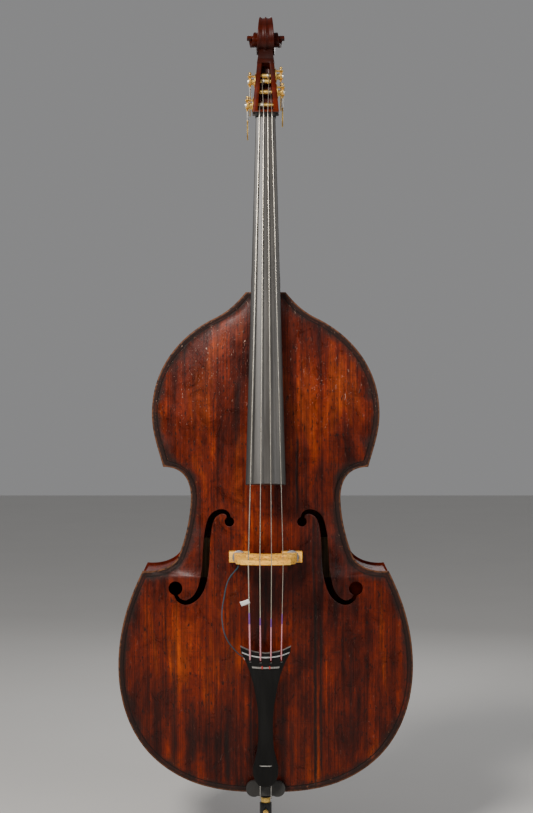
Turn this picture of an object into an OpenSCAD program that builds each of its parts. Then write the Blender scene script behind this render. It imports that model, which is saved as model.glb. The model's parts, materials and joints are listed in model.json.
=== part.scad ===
// Double bass, upright on its endpin. Millimetres, +Z up, front faces -Y.
// Origin at the tip of the endpin.

/* [Body] */
// Length of the body, from the bottom edge to the shoulders
body_len = 1150; // [1080:5:1180]
// Widest width, across the lower bout
lower_bout = 678; // [640:2:700]
// Depth of the body over both plates
body_depth = 200; // [190:1:220]
// Rise of the carved belly above its edge
arch = 30; // [20:1:34]
// Thickness of the belly
belly_t = 7; // [5:0.5:9]
// Thickness of the back
back_t = 6; // [4:0.5:8]
// Thickness of the ribs
rib_t = 2.5; // [2:0.25:4]
// Overhang of both plates past the ribs
overhang = 6; // [4:0.5:8]

/* [Neck and head] */
// Backward tilt of the neck, degrees
neck_tilt = 10.8; // [10.6:0.1:11]
// Backward tilt of the pegbox, degrees
head_tilt = 22.8; // [22:0.1:24]
// Length of the fingerboard
board_len = 860; // [800:5:865]
// Width of the fingerboard at its lower end
board_end_w = 90; // [84:1:94]

/* [Bridge and strings] */
// Distance between neighbouring strings on the bridge
bridge_spacing = 25.6; // [24:0.2:26]
// Distance between neighbouring strings on the nut
nut_spacing = 9.6; // [9:0.1:10]
// Diameter of the two adjuster wheels
wheel_d = 32; // [26:1:34]

/* [Endpin] */
// Height of the body's bottom edge above the floor
drop = 135; // [120:5:190]
// Whole length of the endpin rod
rod_len = 400; // [340:10:420]

/* [Hidden] */
$fn = 48;
eps = 0.01;
fit = 0.05;                      // radial clearance of a shaft in its hole
sx = lower_bout / 678;
sz = body_len / 1150;
edge_y = -body_depth / 2;        // face of the belly's edge
seat_y = edge_y + belly_t;       // plane that the ribs meet at the front
back_in = body_depth / 2 - back_t;
bend_z = 820 * sz;               // the flat back bends forward above here
bend_slope = 0.15;
nut_z = 1563;
nut_at = [0, -73, drop + nut_z];
bridge_z = 546;

wood_dark = [0.36, 0.13, 0.06];
wood_red = [0.45, 0.18, 0.08];
spruce = [0.80, 0.66, 0.44];
maple = [0.82, 0.68, 0.45];
ebony = [0.07, 0.065, 0.06];
brass = [0.72, 0.55, 0.28];
steel = [0.62, 0.62, 0.64];
rubber = [0.05, 0.05, 0.05];

// ---------- Curves of the outline, right half, from the shoulder down to the end ----------
// Each row: four control points [x, z], number of steps, heights on the centre line
// that the first and the last point's cross line runs to.
upper = [
    [[46, 1150], [64, 1128], [84, 1106], [120, 1089], 4, 1080, 1055],
    [[120, 1089], [180, 1060], [262, 990], [262, 870], 8, 1055, 870],
    [[262, 870], [262, 825], [246, 786], [236, 748], 4, 870, 775]];
centre = [
    [[236, 748], [196, 748], [172, 725], [172, 675], 6, 775, 675],
    [[172, 675], [174, 620], [188, 575], [200, 544], 4, 675, 560],
    [[200, 544], [208, 523], [240, 505], [283, 509], 5, 560, 478]];
lower = [
    [[283, 509], [308, 458], [339, 385], [339, 290], 6, 478, 290],
    [[339, 290], [339, 190], [300, 115], [250, 72], 7, 290, 150],
    [[250, 72], [185, 16], [110, 0], [14, 0], 7, 150, 100]];

function bez(p, t) = pow(1 - t, 3) * p[0] + 3 * pow(1 - t, 2) * t * p[1]
    + 3 * (1 - t) * t * t * p[2] + pow(t, 3) * p[3];
function line(rows) = [for (r = rows) for (k = [0:r[4] - 1]) bez(r, k / r[4])];
function spine(rows) = [for (r = rows) for (k = [0:r[4] - 1]) r[5] + (r[6] - r[5]) * k / r[4]];
function scaled(pts) = [for (p = pts) [p[0] * sx, p[1] * sz]];

half = scaled(concat(line(upper), line(centre), line(lower), [[14, 0]]));
cross_z = sz * concat(spine(upper), spine(centre), spine(lower), [100]);
n_half = len(half);
i_upper = 16;                    // index of the upper corner
i_lower = 31;                    // index of the lower corner

// Inset of the outline by d, with mitred corners.
function unit(v) = v / norm(v);
function before(i) = i == 0 ? [0, half[0][1]] : half[i - 1];
function after(i) = i == n_half - 1 ? [0, 0] : half[i + 1];
function side(a, b) = let (u = unit(b - a)) [u[1], -u[0]];
function inset_at(i, d) = let (n0 = side(before(i), half[i]), n1 = side(half[i], after(i)))
    half[i] + d * (n0 + n1) / (1 + n0 * n1);
function inset(d, a, b) = [for (i = [a:b]) inset_at(i, d)];
function reversed(v) = [for (i = [len(v) - 1:-1:0]) v[i]];
function flip_x(v) = [for (p = v) [-p[0], p[1]]];
function whole(pts) = concat(pts, flip_x(reversed(pts)));

// Profile in X and Z, extruded from y0 to y1.
module plate_xz(pts, y0, y1) {
    translate([0, y1, drop])
        rotate([90, 0, 0])
            linear_extrude(y1 - y0)
                polygon(pts);
}

// Side profile in Y and Z, extruded across x0 to x1.
module profile_yz(pts, x0, x1) {
    translate([x0, 0, drop])
        rotate([90, 0, 90])
            linear_extrude(x1 - x0)
                polygon(pts);
}

function back_y(z, t) = back_in + t - max(0, z - bend_z) * bend_slope;

// Everything in front of the back's inner face, moved by t.
module before_back(t) {
    lo = -60;
    hi = nut_z + 200;
    profile_yz([[-300, lo], [back_y(lo, t), lo], [back_y(bend_z, t), bend_z],
        [back_y(hi, t), hi], [-300, hi]], -400, 400);
}

// ---------- Arched belly ----------
ring_s = [0, 0.09, 0.2, 0.36, 0.58, 0.8, 1];
ring_h = [0, 0, 0.2, 0.52, 0.84, 0.97, 1];
n_ring = len(ring_s);
n_row = 2 * n_ring - 1;
mid_z = body_len / 2;

function rise(z) = arch * (1 - pow((z - mid_z) / mid_z, 2));
function arch_point(i, k, side, y0) = let (s = ring_s[k], p = half[i])
    [side * p[0] * (1 - s), y0 - rise(cross_z[i]) * ring_h[k], p[1] + (cross_z[i] - p[1]) * s + drop];
function row(i, y0) = concat([for (k = [0:n_ring - 1]) arch_point(i, k, 1, y0)],
    [for (k = [n_ring - 2:-1:0]) arch_point(i, k, -1, y0)]);
function sheet(y0) = [for (i = [0:n_half - 1]) each row(i, y0)];

n_pts = n_half * n_row;

function grid_faces(base, turn) = [for (c = [0:n_half - 2]) for (k = [0:n_row - 2])
    let (a = base + c * n_row + k, b = a + 1, d = a + n_row, e = d + 1)
        each turn ? [[a, b, d], [b, e, d]] : [[a, d, b], [b, d, e]]];

// Triangles between the middle m of a straight end edge and the nearest cross line.
function end_fan(m, a, turn) = [for (k = [0:n_row - 2])
    turn ? [m, a + k, a + k + 1] : [m, a + k + 1, a + k]];
function end_points(y) = [[0, y, half[0][1] + drop], [0, y, drop]];

// Edge of the sheet, from the shoulder down one side and up the other.
top_m = n_pts;
low_m = n_pts + 1;
rim = concat([for (c = [0:n_half - 1]) c * n_row], [low_m],
    [for (c = [n_half - 1:-1:0]) c * n_row + n_row - 1], [top_m]);
n_rim = len(rim);
last_row = (n_half - 1) * n_row;

function sheet_points(y0) = concat(sheet(y0), end_points(y0));
function sheet_faces(base, turn) = concat(grid_faces(base, turn),
    end_fan(base + top_m, base, !turn), end_fan(base + low_m, base + last_row, turn));

// Solid behind the belly's outer face or its inner face.
module behind_arch(y0) {
    pts = sheet_points(y0);
    base = [for (i = rim) [pts[i][0], back_in - brace_t, pts[i][2]]];
    n = n_pts + 2;
    walls = [for (i = [0:n_rim - 1]) let (j = (i + 1) % n_rim)
        each [[rim[i], rim[j], n + i], [rim[j], n + j, n + i]]];
    polyhedron(concat(pts, base),
        concat(sheet_faces(0, true), walls, [[for (i = [n_rim - 1:-1:0]) n + i]]));
}

// ---------- F-holes ----------
// Middle line of the slot, right half: x, z, half width
f_line = [[84, 632, 4], [88, 643, 4.5], [101, 647, 5.5], [117, 640, 6.5], [127, 624, 7],
    [133, 596, 7.5], [136, 560, 8], [138, 520, 8], [143, 488, 8], [151, 464, 7.5],
    [164, 447, 6.5], [182, 438, 5.5], [198, 443, 5], [207, 456, 4]];
f_eyes = [[83, 624, 11], [207, 470, 16]];

function way(l, i) = unit([for (c = [0, 1]) l[min(i + 1, len(l) - 1)][c] - l[max(i - 1, 0)][c]]);
function ribbon(l, s) = [for (i = [0:len(l) - 1]) let (w = way(l, i))
    [(l[i][0] + s * l[i][2] * w[1]) * sx, (l[i][1] - s * l[i][2] * w[0]) * sz]];

module f_hole() {
    plate_xz(concat(ribbon(f_line, 1), reversed(ribbon(f_line, -1))), edge_y - 60, seat_y + 5);
    for (e = f_eyes)
        translate([e[0] * sx, seat_y + 5, drop + e[1] * sz])
            rotate([90, 0, 0])
                cylinder(r = e[2], h = 70);
}

module belly() {
    n = n_pts + 2;
    walls = [for (i = [0:n_rim - 1]) let (a = rim[i], b = rim[(i + 1) % n_rim])
        each [[a, b, a + n], [b, b + n, a + n]]];
    color(wood_dark)
        difference() {
            polyhedron(concat(sheet_points(edge_y), sheet_points(seat_y)),
                concat(sheet_faces(0, true), sheet_faces(n, false), walls));
            f_hole();
            mirror([1, 0, 0])
                f_hole();
        }
}

button_r = 30;
button_z = body_len + 14;

module back() {
    color(wood_red)
        intersection() {
            union() {
                plate_xz(whole(half), 0, 150);
                translate([0, 150, drop + button_z])
                    rotate([90, 0, 0])
                        cylinder(r = button_r, h = 150);
            }
            difference() {
                before_back(back_t);
                before_back(0);
            }
        }
}

// ---------- Ribs and what stiffens them ----------
rib_in = overhang + rib_t;
lining_t = 7;
lining_h = 20;
plug_z = 80;                     // depth of the endpin's plug in the end block
plug_r = 14;

module plug_bore() {
    translate([0, 0, drop - 1])
        cylinder(r = plug_r + fit, h = plug_z + 20);
}

function band(d0, d1, a, b) = concat(inset(d0, a, b), reversed(inset(d1, a, b)));

// Line of a rib, run on to the middle plane at the shoulders and at the end.
function rib_line(d, a, b) = concat(a == 0 ? [[0, inset_at(0, d)[1]]] : [], inset(d, a, b),
    b == n_half - 1 ? [[0, inset_at(b, d)[1]]] : []);

module on_side(treble) {
    mirror([treble ? 0 : 1, 0, 0])
        children();
}

module rib(a, b, treble) {
    color(wood_red)
        on_side(treble)
            difference() {
                intersection() {
                    plate_xz(concat(rib_line(overhang, a, b), reversed(rib_line(rib_in, a, b))),
                        seat_y, back_in);
                    before_back(0);
                }
                plug_bore();
            }
}

module rib_upper(treble) {
    rib(0, i_upper, treble);
}

module rib_centre(treble) {
    rib(i_upper, i_lower, treble);
}

module rib_lower(treble) {
    rib(i_lower, n_half - 1, treble);
}

lining_runs = [[4, i_upper - 3], [i_upper + 2, i_lower - 3], [i_lower + 2, n_half - 4]];

module lining_set() {
    for (r = lining_runs)
        plate_xz(band(rib_in, rib_in + lining_t, r[0], r[1]), seat_y, seat_y + lining_h);
    for (r = lining_runs)
        intersection() {
            plate_xz(band(rib_in, rib_in + lining_t, r[0], r[1]), 0, back_in);
            difference() {
                before_back(0);
                before_back(-lining_h);
            }
        }
}

module linings() {
    color(spruce) {
        lining_set();
        mirror([1, 0, 0])
            lining_set();
    }
}

module block_shape(pts) {
    intersection() {
        plate_xz(pts, seat_y, back_in);
        before_back(0);
    }
}

module neck_block() {
    color(spruce)
        block_shape(whole(inset(rib_in, 0, 4)));
}

module end_block() {
    color(spruce)
        difference() {
            block_shape(whole(inset(rib_in, n_half - 4, n_half - 1)));
            plug_bore();
        }
}

module corner_blocks() {
    color(spruce)
        for (treble = [true, false])
            on_side(treble) {
                block_shape(inset(rib_in, i_upper - 3, i_upper + 2));
                block_shape(inset(rib_in, i_lower - 3, i_lower + 2));
            }
}

bar_x = -58;

module bass_bar() {
    color(spruce)
        intersection() {
            profile_yz([[-150, 150], [-150, 990], [-98, 990], [-88, 820], [-84, bridge_z],
                [-88, 320], [-98, 150]], bar_x - 11, bar_x + 11);
            behind_arch(seat_y);
        }
}

brace_t = 10;
post_z = 521;

module sound_post() {
    color(spruce)
        intersection() {
            translate([58, back_in - brace_t, drop + post_z])
                rotate([90, 0, 0])
                    cylinder(r = 10, h = 260);
            behind_arch(seat_y);
        }
}

// Lowest height, width, depth, half length of each cross brace
brace_rows = [[225, 30, 20, 300], [474, 96, brace_t, 165], [770, 30, 20, 204]];
high_brace_z = 985;

module back_braces() {
    color(spruce) {
        for (b = brace_rows)
            translate([-b[3] * sx, back_in - b[2], drop + b[0]])
                cube([2 * b[3] * sx, b[2], b[1]]);
        intersection() {
            translate([-186 * sx, 0, drop + high_brace_z])
                cube([372 * sx, 120, 30]);
            difference() {
                before_back(0);
                before_back(-18);
            }
        }
    }
}

// ---------- Frames along the neck and the pegbox ----------
module in_neck() {
    translate(nut_at)
        rotate([-neck_tilt, 0, 0])
            children();
}

module in_head() {
    translate(nut_at)
        rotate([-head_tilt, 0, 0])
            children();
}

// Closed skin through a list of rings that all have the same number of points.
function ring_faces(n, m) = [for (i = [0:m - 2]) for (j = [0:n - 1])
    let (a = i * n + j, b = i * n + (j + 1) % n)
        each [[a, a + n, b], [b, a + n, b + n]]];

module loft(rings) {
    n = len(rings[0]);
    m = len(rings);
    polyhedron([for (r = rings) each r],
        concat([[for (j = [0:n - 1]) j]], ring_faces(n, m),
            [[for (j = [n - 1:-1:0]) (m - 1) * n + j]]));
}

// Block with straight sides: half width and depth at the bottom u0 and at the top u1.
module tapered(u0, w0, d0, u1, w1, d1, f0 = 0, f1 = 0) {
    loft([[[w0, f0, u0], [w0, d0, u0], [-w0, d0, u0], [-w0, f0, u0]],
        [[w1, f1, u1], [w1, d1, u1], [-w1, d1, u1], [-w1, f1, u1]]]);
}

// D-shaped section of the neck: half width, front plane, back
function d_section(u, w, f, b) = concat([[w, f, u]],
    [for (a = [0:22.5:180]) [w * cos(a), f + 6 + (b - f - 6) * sin(a), u]],
    [[-w, f, u]]);

board_d0 = 15;                   // depth of the board's underside at the nut
board_d1 = 27;                   // and at its lower end
function board_under(u) = board_d0 + (board_d1 - board_d0) * (-u) / board_len;
nut_low = board_under(-6);       // underside of the nut
function board_half(u) = 22.5 + (board_end_w / 2 - 22.5) * (-u) / board_len;

// Height, half width and back of the neck, from the heel up
neck_rows = [[-460, 34, 230], [-384, 33, 190], [-366, 31, 104], [-338, 29, 62], [-300, 27.5, 50],
    [-150, 25, 45], [-6, 22.5, 42], [16, 22.5, 40]];

box_u0 = -6;                     // foot of the pegbox
box_u1 = 138;                    // top of its slot
box_w0 = 32;
box_w1 = 20;
box_d0 = 52;
box_d1 = 38;
cheek = 12;
function box_half(u) = box_w0 + (box_w1 - box_w0) * (u - box_u0) / (box_u1 - box_u0);
taper = atan((box_w0 - box_w1) / (box_u1 - box_u0));

scroll_u = 208;
scroll_y = 19;
// Half width and radius of the turns of the scroll, from the outer to the eye
scroll_turns = [[16, 59], [22, 40], [32, 26], [44.5, 15]];

// Strings: half place across the nut and the bridge, roller height, radius
gear_u = [32, 96, 111, 67];
string_r = [1.35, 1.1, 0.9, 0.7];
string_side = [-1, -1, 1, 1];
roller_y = 16;
journal_r = 5;
drum_r = 6;

module neck() {
    color(wood_dark)
        difference() {
            union() {
                intersection() {
                    in_neck()
                        loft([for (r = neck_rows) d_section(r[0], r[1], board_under(r[0]), r[2])]);
                    difference() {
                        before_back(0);
                        translate([-100, -300, -10])
                            cube([200, 300 + seat_y, drop + body_len + 10]);
                        translate([-100, -300, -10])
                            cube([200, 500, drop + body_len - overhang + 10]);
                    }
                }
                in_head() {
                    difference() {
                        tapered(box_u0, box_w0, box_d0, box_u1 + 12, box_half(box_u1 + 12), box_d1);
                        translate([-50, 0, box_u0])
                            rotate([head_tilt + 8, 0, 0])
                                translate([0, -10, -60])
                                    cube([100, 120, 60]);
                    }
                    tapered(box_u1 + 10, 16, box_d1, scroll_u, 14, 60, 2, 0);
                    for (t = scroll_turns)
                        translate([-t[0], scroll_y, scroll_u])
                            rotate([0, 90, 0])
                                cylinder(r = t[1], h = 2 * t[0]);
                }
            }
            in_head() {
                tapered(10, box_half(10) - cheek, box_d0 - 13, box_u1, box_half(box_u1) - 11,
                    box_d1 - 11, -1, -1);
                for (i = [0:3])
                    translate([string_side[i] * 60, roller_y, gear_u[i]])
                        rotate([0, -90 * string_side[i], 0])
                            cylinder(r = journal_r + fit, h = 60 + box_half(gear_u[i]) - 5);
                translate([-50, -60, -10])
                    cube([100, 60, 18]);
            }
            in_neck() {
                tapered(-30, 50, board_under(-30), -6, 50, nut_low, -50, -50);
                translate([-50, -50, -7])
                    cube([100, 50 + nut_low, 13]);
            }
        }
}

function board_ring(u, r) = let (w = board_half(u), n = 8)
    concat([[-w, board_under(u), u]],
        [for (k = [0:n]) let (x = 2 * w * k / n - w) [x, r - sqrt(r * r - x * x), u]],
        [[w, board_under(u), u]]);

module fingerboard() {
    color(ebony)
        in_neck()
            loft([for (t = [0:4]) board_ring(-6 - (board_len - 6) * (4 - t) / 4, 70)]);
}

nut_top = -2;

module nut() {
    color(ebony)
        in_neck()
            difference() {
                translate([-24, nut_top, -6])
                    cube([48, nut_low - nut_top, 9]);
                for (i = [0:3])
                    translate([(i - 1.5) * nut_spacing, nut_top, -10])
                        cylinder(r = string_r[i] + fit, h = 20);
            }
}

// ---------- Tuning machines ----------
teeth = 20;
pitch = 4.084;                   // distance between two teeth and lead of the worm
gear_root = 11.7;
gear_out = 14;
worm_root = 3.2;
worm_out = 5.5;
reach = 17.5;                    // from the gear's axis to the worm's
worm_tilt = head_tilt + 18;      // lean of the worm against the pegbox
gear_off = 13.5;                 // gear's middle plane past the cheek
gear_w = 5;
shaft_r = 3;
post_s = 9;                      // both bearings of the worm
plate_t = 2;

module machine(i) {
    in_head()
        mirror([string_side[i] > 0 ? 0 : 1, 0, 0])
            translate([box_half(gear_u[i]), roller_y, gear_u[i]])
                children();
}

module in_gear() {
    translate([gear_off, 0, 0])
        rotate([worm_tilt, 0, 0])
            children();
}

// Plate on the cheek, which the pegbox's taper leans inward.
module on_cheek() {
    rotate([0, -taper, 0])
        rotate([worm_tilt, 0, 0])
            rotate([90, 0, 90])
                children();
}

module plate_outline() {
    circle(r = 16);
    translate([0, -16])
        square([24, 32]);
}

screw_spots = [[-11.5, 7], [-11.5, -7], [20.5, 13.6], [20.5, -13.6]];

module machine_plate(i) {
    machine(i)
        difference() {
            union() {
                on_cheek()
                    linear_extrude(plate_t)
                        plate_outline();
                difference() {
                    in_gear()
                        for (s = [-post_s, post_s])
                            translate([-gear_off - 4, reach - 5, s - 2])
                                cube([gear_off + 9, 10, 4]);
                    on_cheek()
                        translate([-60, -60, -30])
                            cube([120, 120, 31]);
                }
            }
            in_gear() {
                translate([0, reach, -30])
                    cylinder(r = shaft_r + fit, h = 60);
                translate([-30, 0, 0])
                    rotate([0, 90, 0])
                        cylinder(r = journal_r + 0.3, h = 60);
            }
            on_cheek()
                for (s = screw_spots)
                    translate([s[0], s[1], -1])
                        cylinder(r = 1.2, h = 6);
        }
}

module machine_plates() {
    color(brass)
        for (i = [0:3])
            machine_plate(i);
}

module plate_screws() {
    color(brass)
        for (i = [0:3])
            machine(i)
                on_cheek()
                    for (s = screw_spots)
                        translate([s[0], s[1], plate_t])
                            cylinder(r1 = 2.2, r2 = 1.4, h = 1.4);
}

// Along the roller's axis, outward from the pegbox's middle plane.
module on_roller(i) {
    in_head()
        translate([0, roller_y, gear_u[i]])
            rotate([0, 90 * string_side[i], 0])
                children();
}

function gear_at(i) = box_half(gear_u[i]) + gear_off;

module roller(i) {
    inner = box_half(gear_u[i]) - cheek - 1.2;
    end = gear_at(i) - gear_w / 2;
    color(brass)
        on_roller(i)
            difference() {
                union() {
                    translate([0, 0, 5.4 - box_half(gear_u[i])])
                        cylinder(r = journal_r, h = end + box_half(gear_u[i]) - 5.4);
                    translate([0, 0, -inner])
                        cylinder(r = drum_r, h = 2 * inner);
                    translate([0, 0, end - eps])
                        cylinder(r = 4, h = gear_w + eps);
                }
                translate([0, 0, end - 6])
                    cylinder(r = 2, h = 20);
            }
    // Wound turns of the string, which go round with the roller.
    color(steel)
        on_roller(i)
            translate([0, 0, wind_x[i]])
                difference() {
                    cylinder(r = wind_r + 2 * string_r[i], h = 2 * wind_n * string_r[i],
                        center = true);
                    cylinder(r = drum_r - eps, h = 100, center = true);
                }
}

function tooth(k) = let (a = 360 * (k + 0.5) / teeth)
    [for (q = [[-0.5, gear_root], [-0.21, gear_root], [-0.11, gear_out], [0.11, gear_out],
        [0.21, gear_root]]) q[1] * [cos(a + q[0] * 360 / teeth), sin(a + q[0] * 360 / teeth)]];

module gear(i) {
    color(brass)
        machine(i)
            in_gear()
                translate([-gear_w / 2, 0, 0])
                    rotate([90, 0, 90])
                        linear_extrude(gear_w)
                            difference() {
                                polygon([for (k = [0:teeth - 1]) each tooth(k)]);
                                circle(r = 4.02);
                            }
}

module gear_screw(i) {
    end = gear_at(i) + gear_w / 2;
    color(steel)
        on_roller(i) {
            translate([0, 0, end - 9])
                cylinder(r = 1.95, h = 9 + eps);
            difference() {
                translate([0, 0, end])
                    cylinder(r1 = 5, r2 = 4, h = 3);
                translate([-6, -0.6, end + 1.8])
                    cube([12, 1.2, 3]);
            }
        }
}

thread_turns = 3;
thread_steps = 12;               // rings in each turn
// Radius of the worm's cross section at each angle from the crest
worm_ring = [[-36, worm_out], [36, worm_out], [72, worm_root], [108, worm_root],
    [144, worm_root], [180, worm_root], [216, worm_root], [252, worm_root], [288, worm_root]];
function worm_at(t) = [for (q = worm_ring) let (a = q[0] + 270 + 360 * t)
    [q[1] * cos(a), q[1] * sin(a), pitch * t]];

// Outline of the key's blade in the shaft's plane
blade = [[2.5, -38], [6, -42], [13, -46], [14, -54], [13, -66], [8, -76], [3, -82], [0, -86],
    [-3, -82], [-8, -76], [-13, -66], [-14, -54], [-13, -46], [-6, -42], [-2.5, -38]];

module key(i) {
    color(brass)
        machine(i)
            in_gear()
                translate([0, reach, 0]) {
                    loft([for (k = [0:thread_turns * thread_steps])
                        worm_at(k / thread_steps - thread_turns / 2)]);
                    translate([0, 0, -44])
                        cylinder(r = shaft_r, h = 58);
                    translate([0, 0, 15.5])
                        sphere(r = 3.6);
                    translate([-1.5, 0, 0])
                        rotate([90, 0, 90])
                            linear_extrude(3)
                                polygon(blade);
                }
}

// ---------- Strings ----------
// Skin around a path of [point, radius], with the rings kept across the x axis.
function cut(p, i) = unit(unit(p[min(i + 1, len(p) - 1)][0] - p[max(min(i, len(p) - 2), 0)][0])
    + unit(p[max(min(i, len(p) - 1), 1)][0] - p[max(i - 1, 0)][0]));
function tube_ring(p, i, n) = let (w = cut(p, i), a = unit(cross(w, [1, 0.01, 0])), b = cross(w, a))
    [for (j = [0:n - 1]) p[i][0] + p[i][1] * (cos(360 * j / n) * a + sin(360 * j / n) * b)];

module tube(p, n = 8) {
    loft([for (i = [0:len(p) - 1]) tube_ring(p, i, n)]);
}

function turn_x(p, a) = [p[0], p[1] * cos(a) - p[2] * sin(a), p[1] * sin(a) + p[2] * cos(a)];
function neck_point(p) = nut_at + turn_x(p, -neck_tilt);
function head_point(p) = nut_at + turn_x(p, -head_tilt);

string_top = [-271.5, -280.3, -280.3, -271.5];   // height of each string on the bridge
wind_x = [9, 5, 5, 9.2];                         // place of each string's turns on its roller
tail_spacing = 23.6;
tail_z = 334;
tail_y = [-191.4, -199.4, -199.4, -191.4];
wind_r = drum_r + 0.35;                          // inside of the turns
wind_n = 2;                                      // turns on each roller
turn_gap = 0.3;                                  // between the turns and the straight run
silk_z = [429, 418, 417, 427];                   // top of the silk on each string

// Straight run from the bridge down to the tailpiece, at the height z.
function tail_run(i, z) = let (t = (bridge_z - 6 - z) / (bridge_z - 8 - tail_z))
    [(i - 1.5) * (bridge_spacing + (tail_spacing - bridge_spacing) * t),
        string_top[i] + (tail_y[i] - string_top[i]) * t, drop + z];

function string_path(i) = let (r = string_r[i], x = (i - 1.5) * nut_spacing)
    [[head_point([string_side[i] * (wind_x[i] + (wind_n + 1) * r + turn_gap),
            roller_y - wind_r - r, gear_u[i]]), 0.8 * r],
        [neck_point([x, nut_top - 0.2, 3.5]), r],
        [neck_point([x, nut_top - 0.2, -6.5]), r],
        [[(i - 1.5) * bridge_spacing, string_top[i], drop + bridge_z + 4], r],
        [tail_run(i, bridge_z - 6), r],
        [tail_run(i, silk_z[i]), r],
        [tail_run(i, silk_z[i] - 3), r + 0.5],
        [tail_run(i, tail_z - 9), r + 0.5],
        [[(i - 1.5) * tail_spacing, tail_y[i] + 12, drop + tail_z - 18], r + 0.3]];

module string(i) {
    color(steel)
        tube(string_path(i));
}

// ---------- Bridge ----------
leg_x = 59.8;
foot_w = 46.6;
foot_d = 24;
foot_h = 28;
wheel_t = 5;
gap = 0.1;
foot_base = edge_y - rise(bridge_z);
foot_top = foot_base - foot_h + 4;
leg_y = foot_top - wheel_t - 2 * gap;
top_y = -281.6;

// Right half of the bridge: x and distance in front of the legs' ends
bridge_half = [[10, 22], [20, 18], [36, 14], [44, 8], [46, 0], [70, 0], [71, 8], [66, 20],
    [58, 32], [59, 44], [64, 51], [66.5, 58], [66, 66], [61, 74], [56, 84], [54, 98],
    [56, 110], [50, 114.3], [38, 119.3], [26, 122.9], [13, 125]];
bridge_top = leg_y - top_y;

bridge_k = bridge_top / 126;     // fits the drawn height to the real one
function bridge_pts(s) = [for (p = bridge_half) [s * p[0], -(leg_y - p[1] * bridge_k)]];

// Cut-outs: x, distance in front, radius
bridge_eyes = [[0, 76, 11], [9, 86, 8], [-9, 86, 8], [34, 66, 12], [-34, 66, 12],
    [40, 54, 8], [-40, 54, 8], [23, 98, 6], [-23, 98, 6]];
wing_slot = [[54, 53.5], [72, 54], [72, 60], [54, 59.2]];

module bridge_outline() {
    difference() {
        polygon(concat(bridge_pts(1), reversed(bridge_pts(-1))));
        for (e = bridge_eyes)
            translate([e[0], e[1] * bridge_k - leg_y])
                circle(r = e[2]);
        for (s = [-1, 1])
            polygon([for (p = wing_slot) [s * p[0], p[1] * bridge_k - leg_y]]);
    }
}

module leg_bore(r, y0, y1) {
    for (s = [-1, 1])
        translate([s * leg_x, y0, drop + bridge_z])
            rotate([90, 0, 0])
                cylinder(r = r, h = y0 - y1);
}

module bridge() {
    color(maple)
        difference() {
            intersection() {
                translate([0, 0, drop + bridge_z - 12])
                    mirror([0, 1, 0])
                        linear_extrude(24)
                            bridge_outline();
                profile_yz([[leg_y + 1, bridge_z - 11], [leg_y - 40, bridge_z - 10],
                    [top_y - 2, bridge_z - 5], [top_y - 2, bridge_z + 4],
                    [leg_y - 40, bridge_z + 10], [leg_y + 1, bridge_z + 11]], -100, 100);
            }
            leg_bore(4 + fit, leg_y + 1, leg_y - 22);
            for (i = [0:3])
                translate([(i - 1.5) * bridge_spacing, string_top[i], drop + bridge_z - 20])
                    cylinder(r = string_r[i] + 0.08, h = 40);
        }
}

module bridge_foot(s) {
    color(maple)
        difference() {
            translate([s * leg_x - foot_w / 2, foot_top, drop + bridge_z - foot_d / 2])
                cube([foot_w, foot_base + 12 - foot_top, foot_d]);
            behind_arch(edge_y);
            translate([s * leg_x, foot_top + 16, drop + bridge_z])
                rotate([90, 0, 0])
                    cylinder(r = 4 + fit, h = 20);
        }
}

module adjuster(s) {
    color(steel)
        translate([s * leg_x, foot_top - gap, drop + bridge_z])
            rotate([90, 0, 0]) {
                cylinder(r = wheel_d / 2, h = wheel_t);
                translate([0, 0, -15])
                    cylinder(r = 4, h = 15 + wheel_t + 20);
            }
}

slot_mid = leg_y - 56.6 * bridge_k;
element_x = 61.5;

module pickup_elements() {
    color(brass)
        for (s = [-1, 1])
            translate([s * element_x - 4, slot_mid - 1.7, drop + bridge_z - 9])
                cube([8, 3.4, 18]);
}

// ---------- Tailpiece, wire, saddle ----------
tail_low = 22;
tail_len = 324;
tail_lean = atan(52 / tail_len);
tail_base = [0, -143, drop + tail_low];
tail_t = 9;                      // thickness
top_sag = 9;                     // hollow of the upper edge in its middle
top_half = 57;
// Distance from the lower end and half width
tail_half = [[0, 8], [3, 15], [12, 24], [27, 28.5], [45, 28.5], [63, 24.5], [82, 20],
    [104, 17.5], [135, 16.5], [163, 17], [190, 19], [215, 23], [240, 27.5], [265, 34.5],
    [280, 40], [296, 46.5], [312, 56]];

// Along the tailpiece: +Z up its length, front at y = 0.
module in_tail() {
    translate(tail_base)
        rotate([tail_lean, 0, 0])
            children();
}

// Hollow curve across the tailpiece, d below its upper edge.
function top_arc(d, w, sag) = [for (k = [0:8]) let (x = 1 - k / 4)
    [w * x, tail_len - d - sag * (1 - x * x)]];
function tail_outline() = concat([for (p = tail_half) [p[1], p[0]]], top_arc(0, top_half, top_sag),
    [for (p = reversed(tail_half)) [-p[1], p[0]]]);

wire_r = 1.5;
wire_x = 12.5;
wire_u = 50;                     // height of the two holes above the lower end

// Outline in the tailpiece's own plane, extruded through it.
module tail_cut(pts) {
    rotate([90, 0, 0])
        linear_extrude(100, center = true)
            polygon(pts);
}

crown = 90;                      // radius across the front of the tailpiece

module tailpiece() {
    color(ebony)
        in_tail()
            difference() {
                intersection() {
                    tail_cut(tail_outline());
                    translate([0, crown, -1])
                        cylinder(r = crown, h = tail_len + 2, $fn = 96);
                }
                translate([0, crown, -2])
                    cylinder(r = crown - tail_t, h = tail_len + 4, $fn = 96);
                for (s = [-1, 1])
                    translate([s * wire_x, 40, wire_u])
                        rotate([90, 0, 0])
                            cylinder(r = wire_r + 0.5, h = 60);
                for (i = [0:3])
                    translate([(i - 1.5) * tail_spacing - 2.4, -10, tail_len - 32])
                        cube([4.8, 40, 60]);
            }
}

fret_proud = 0.6;

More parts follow.
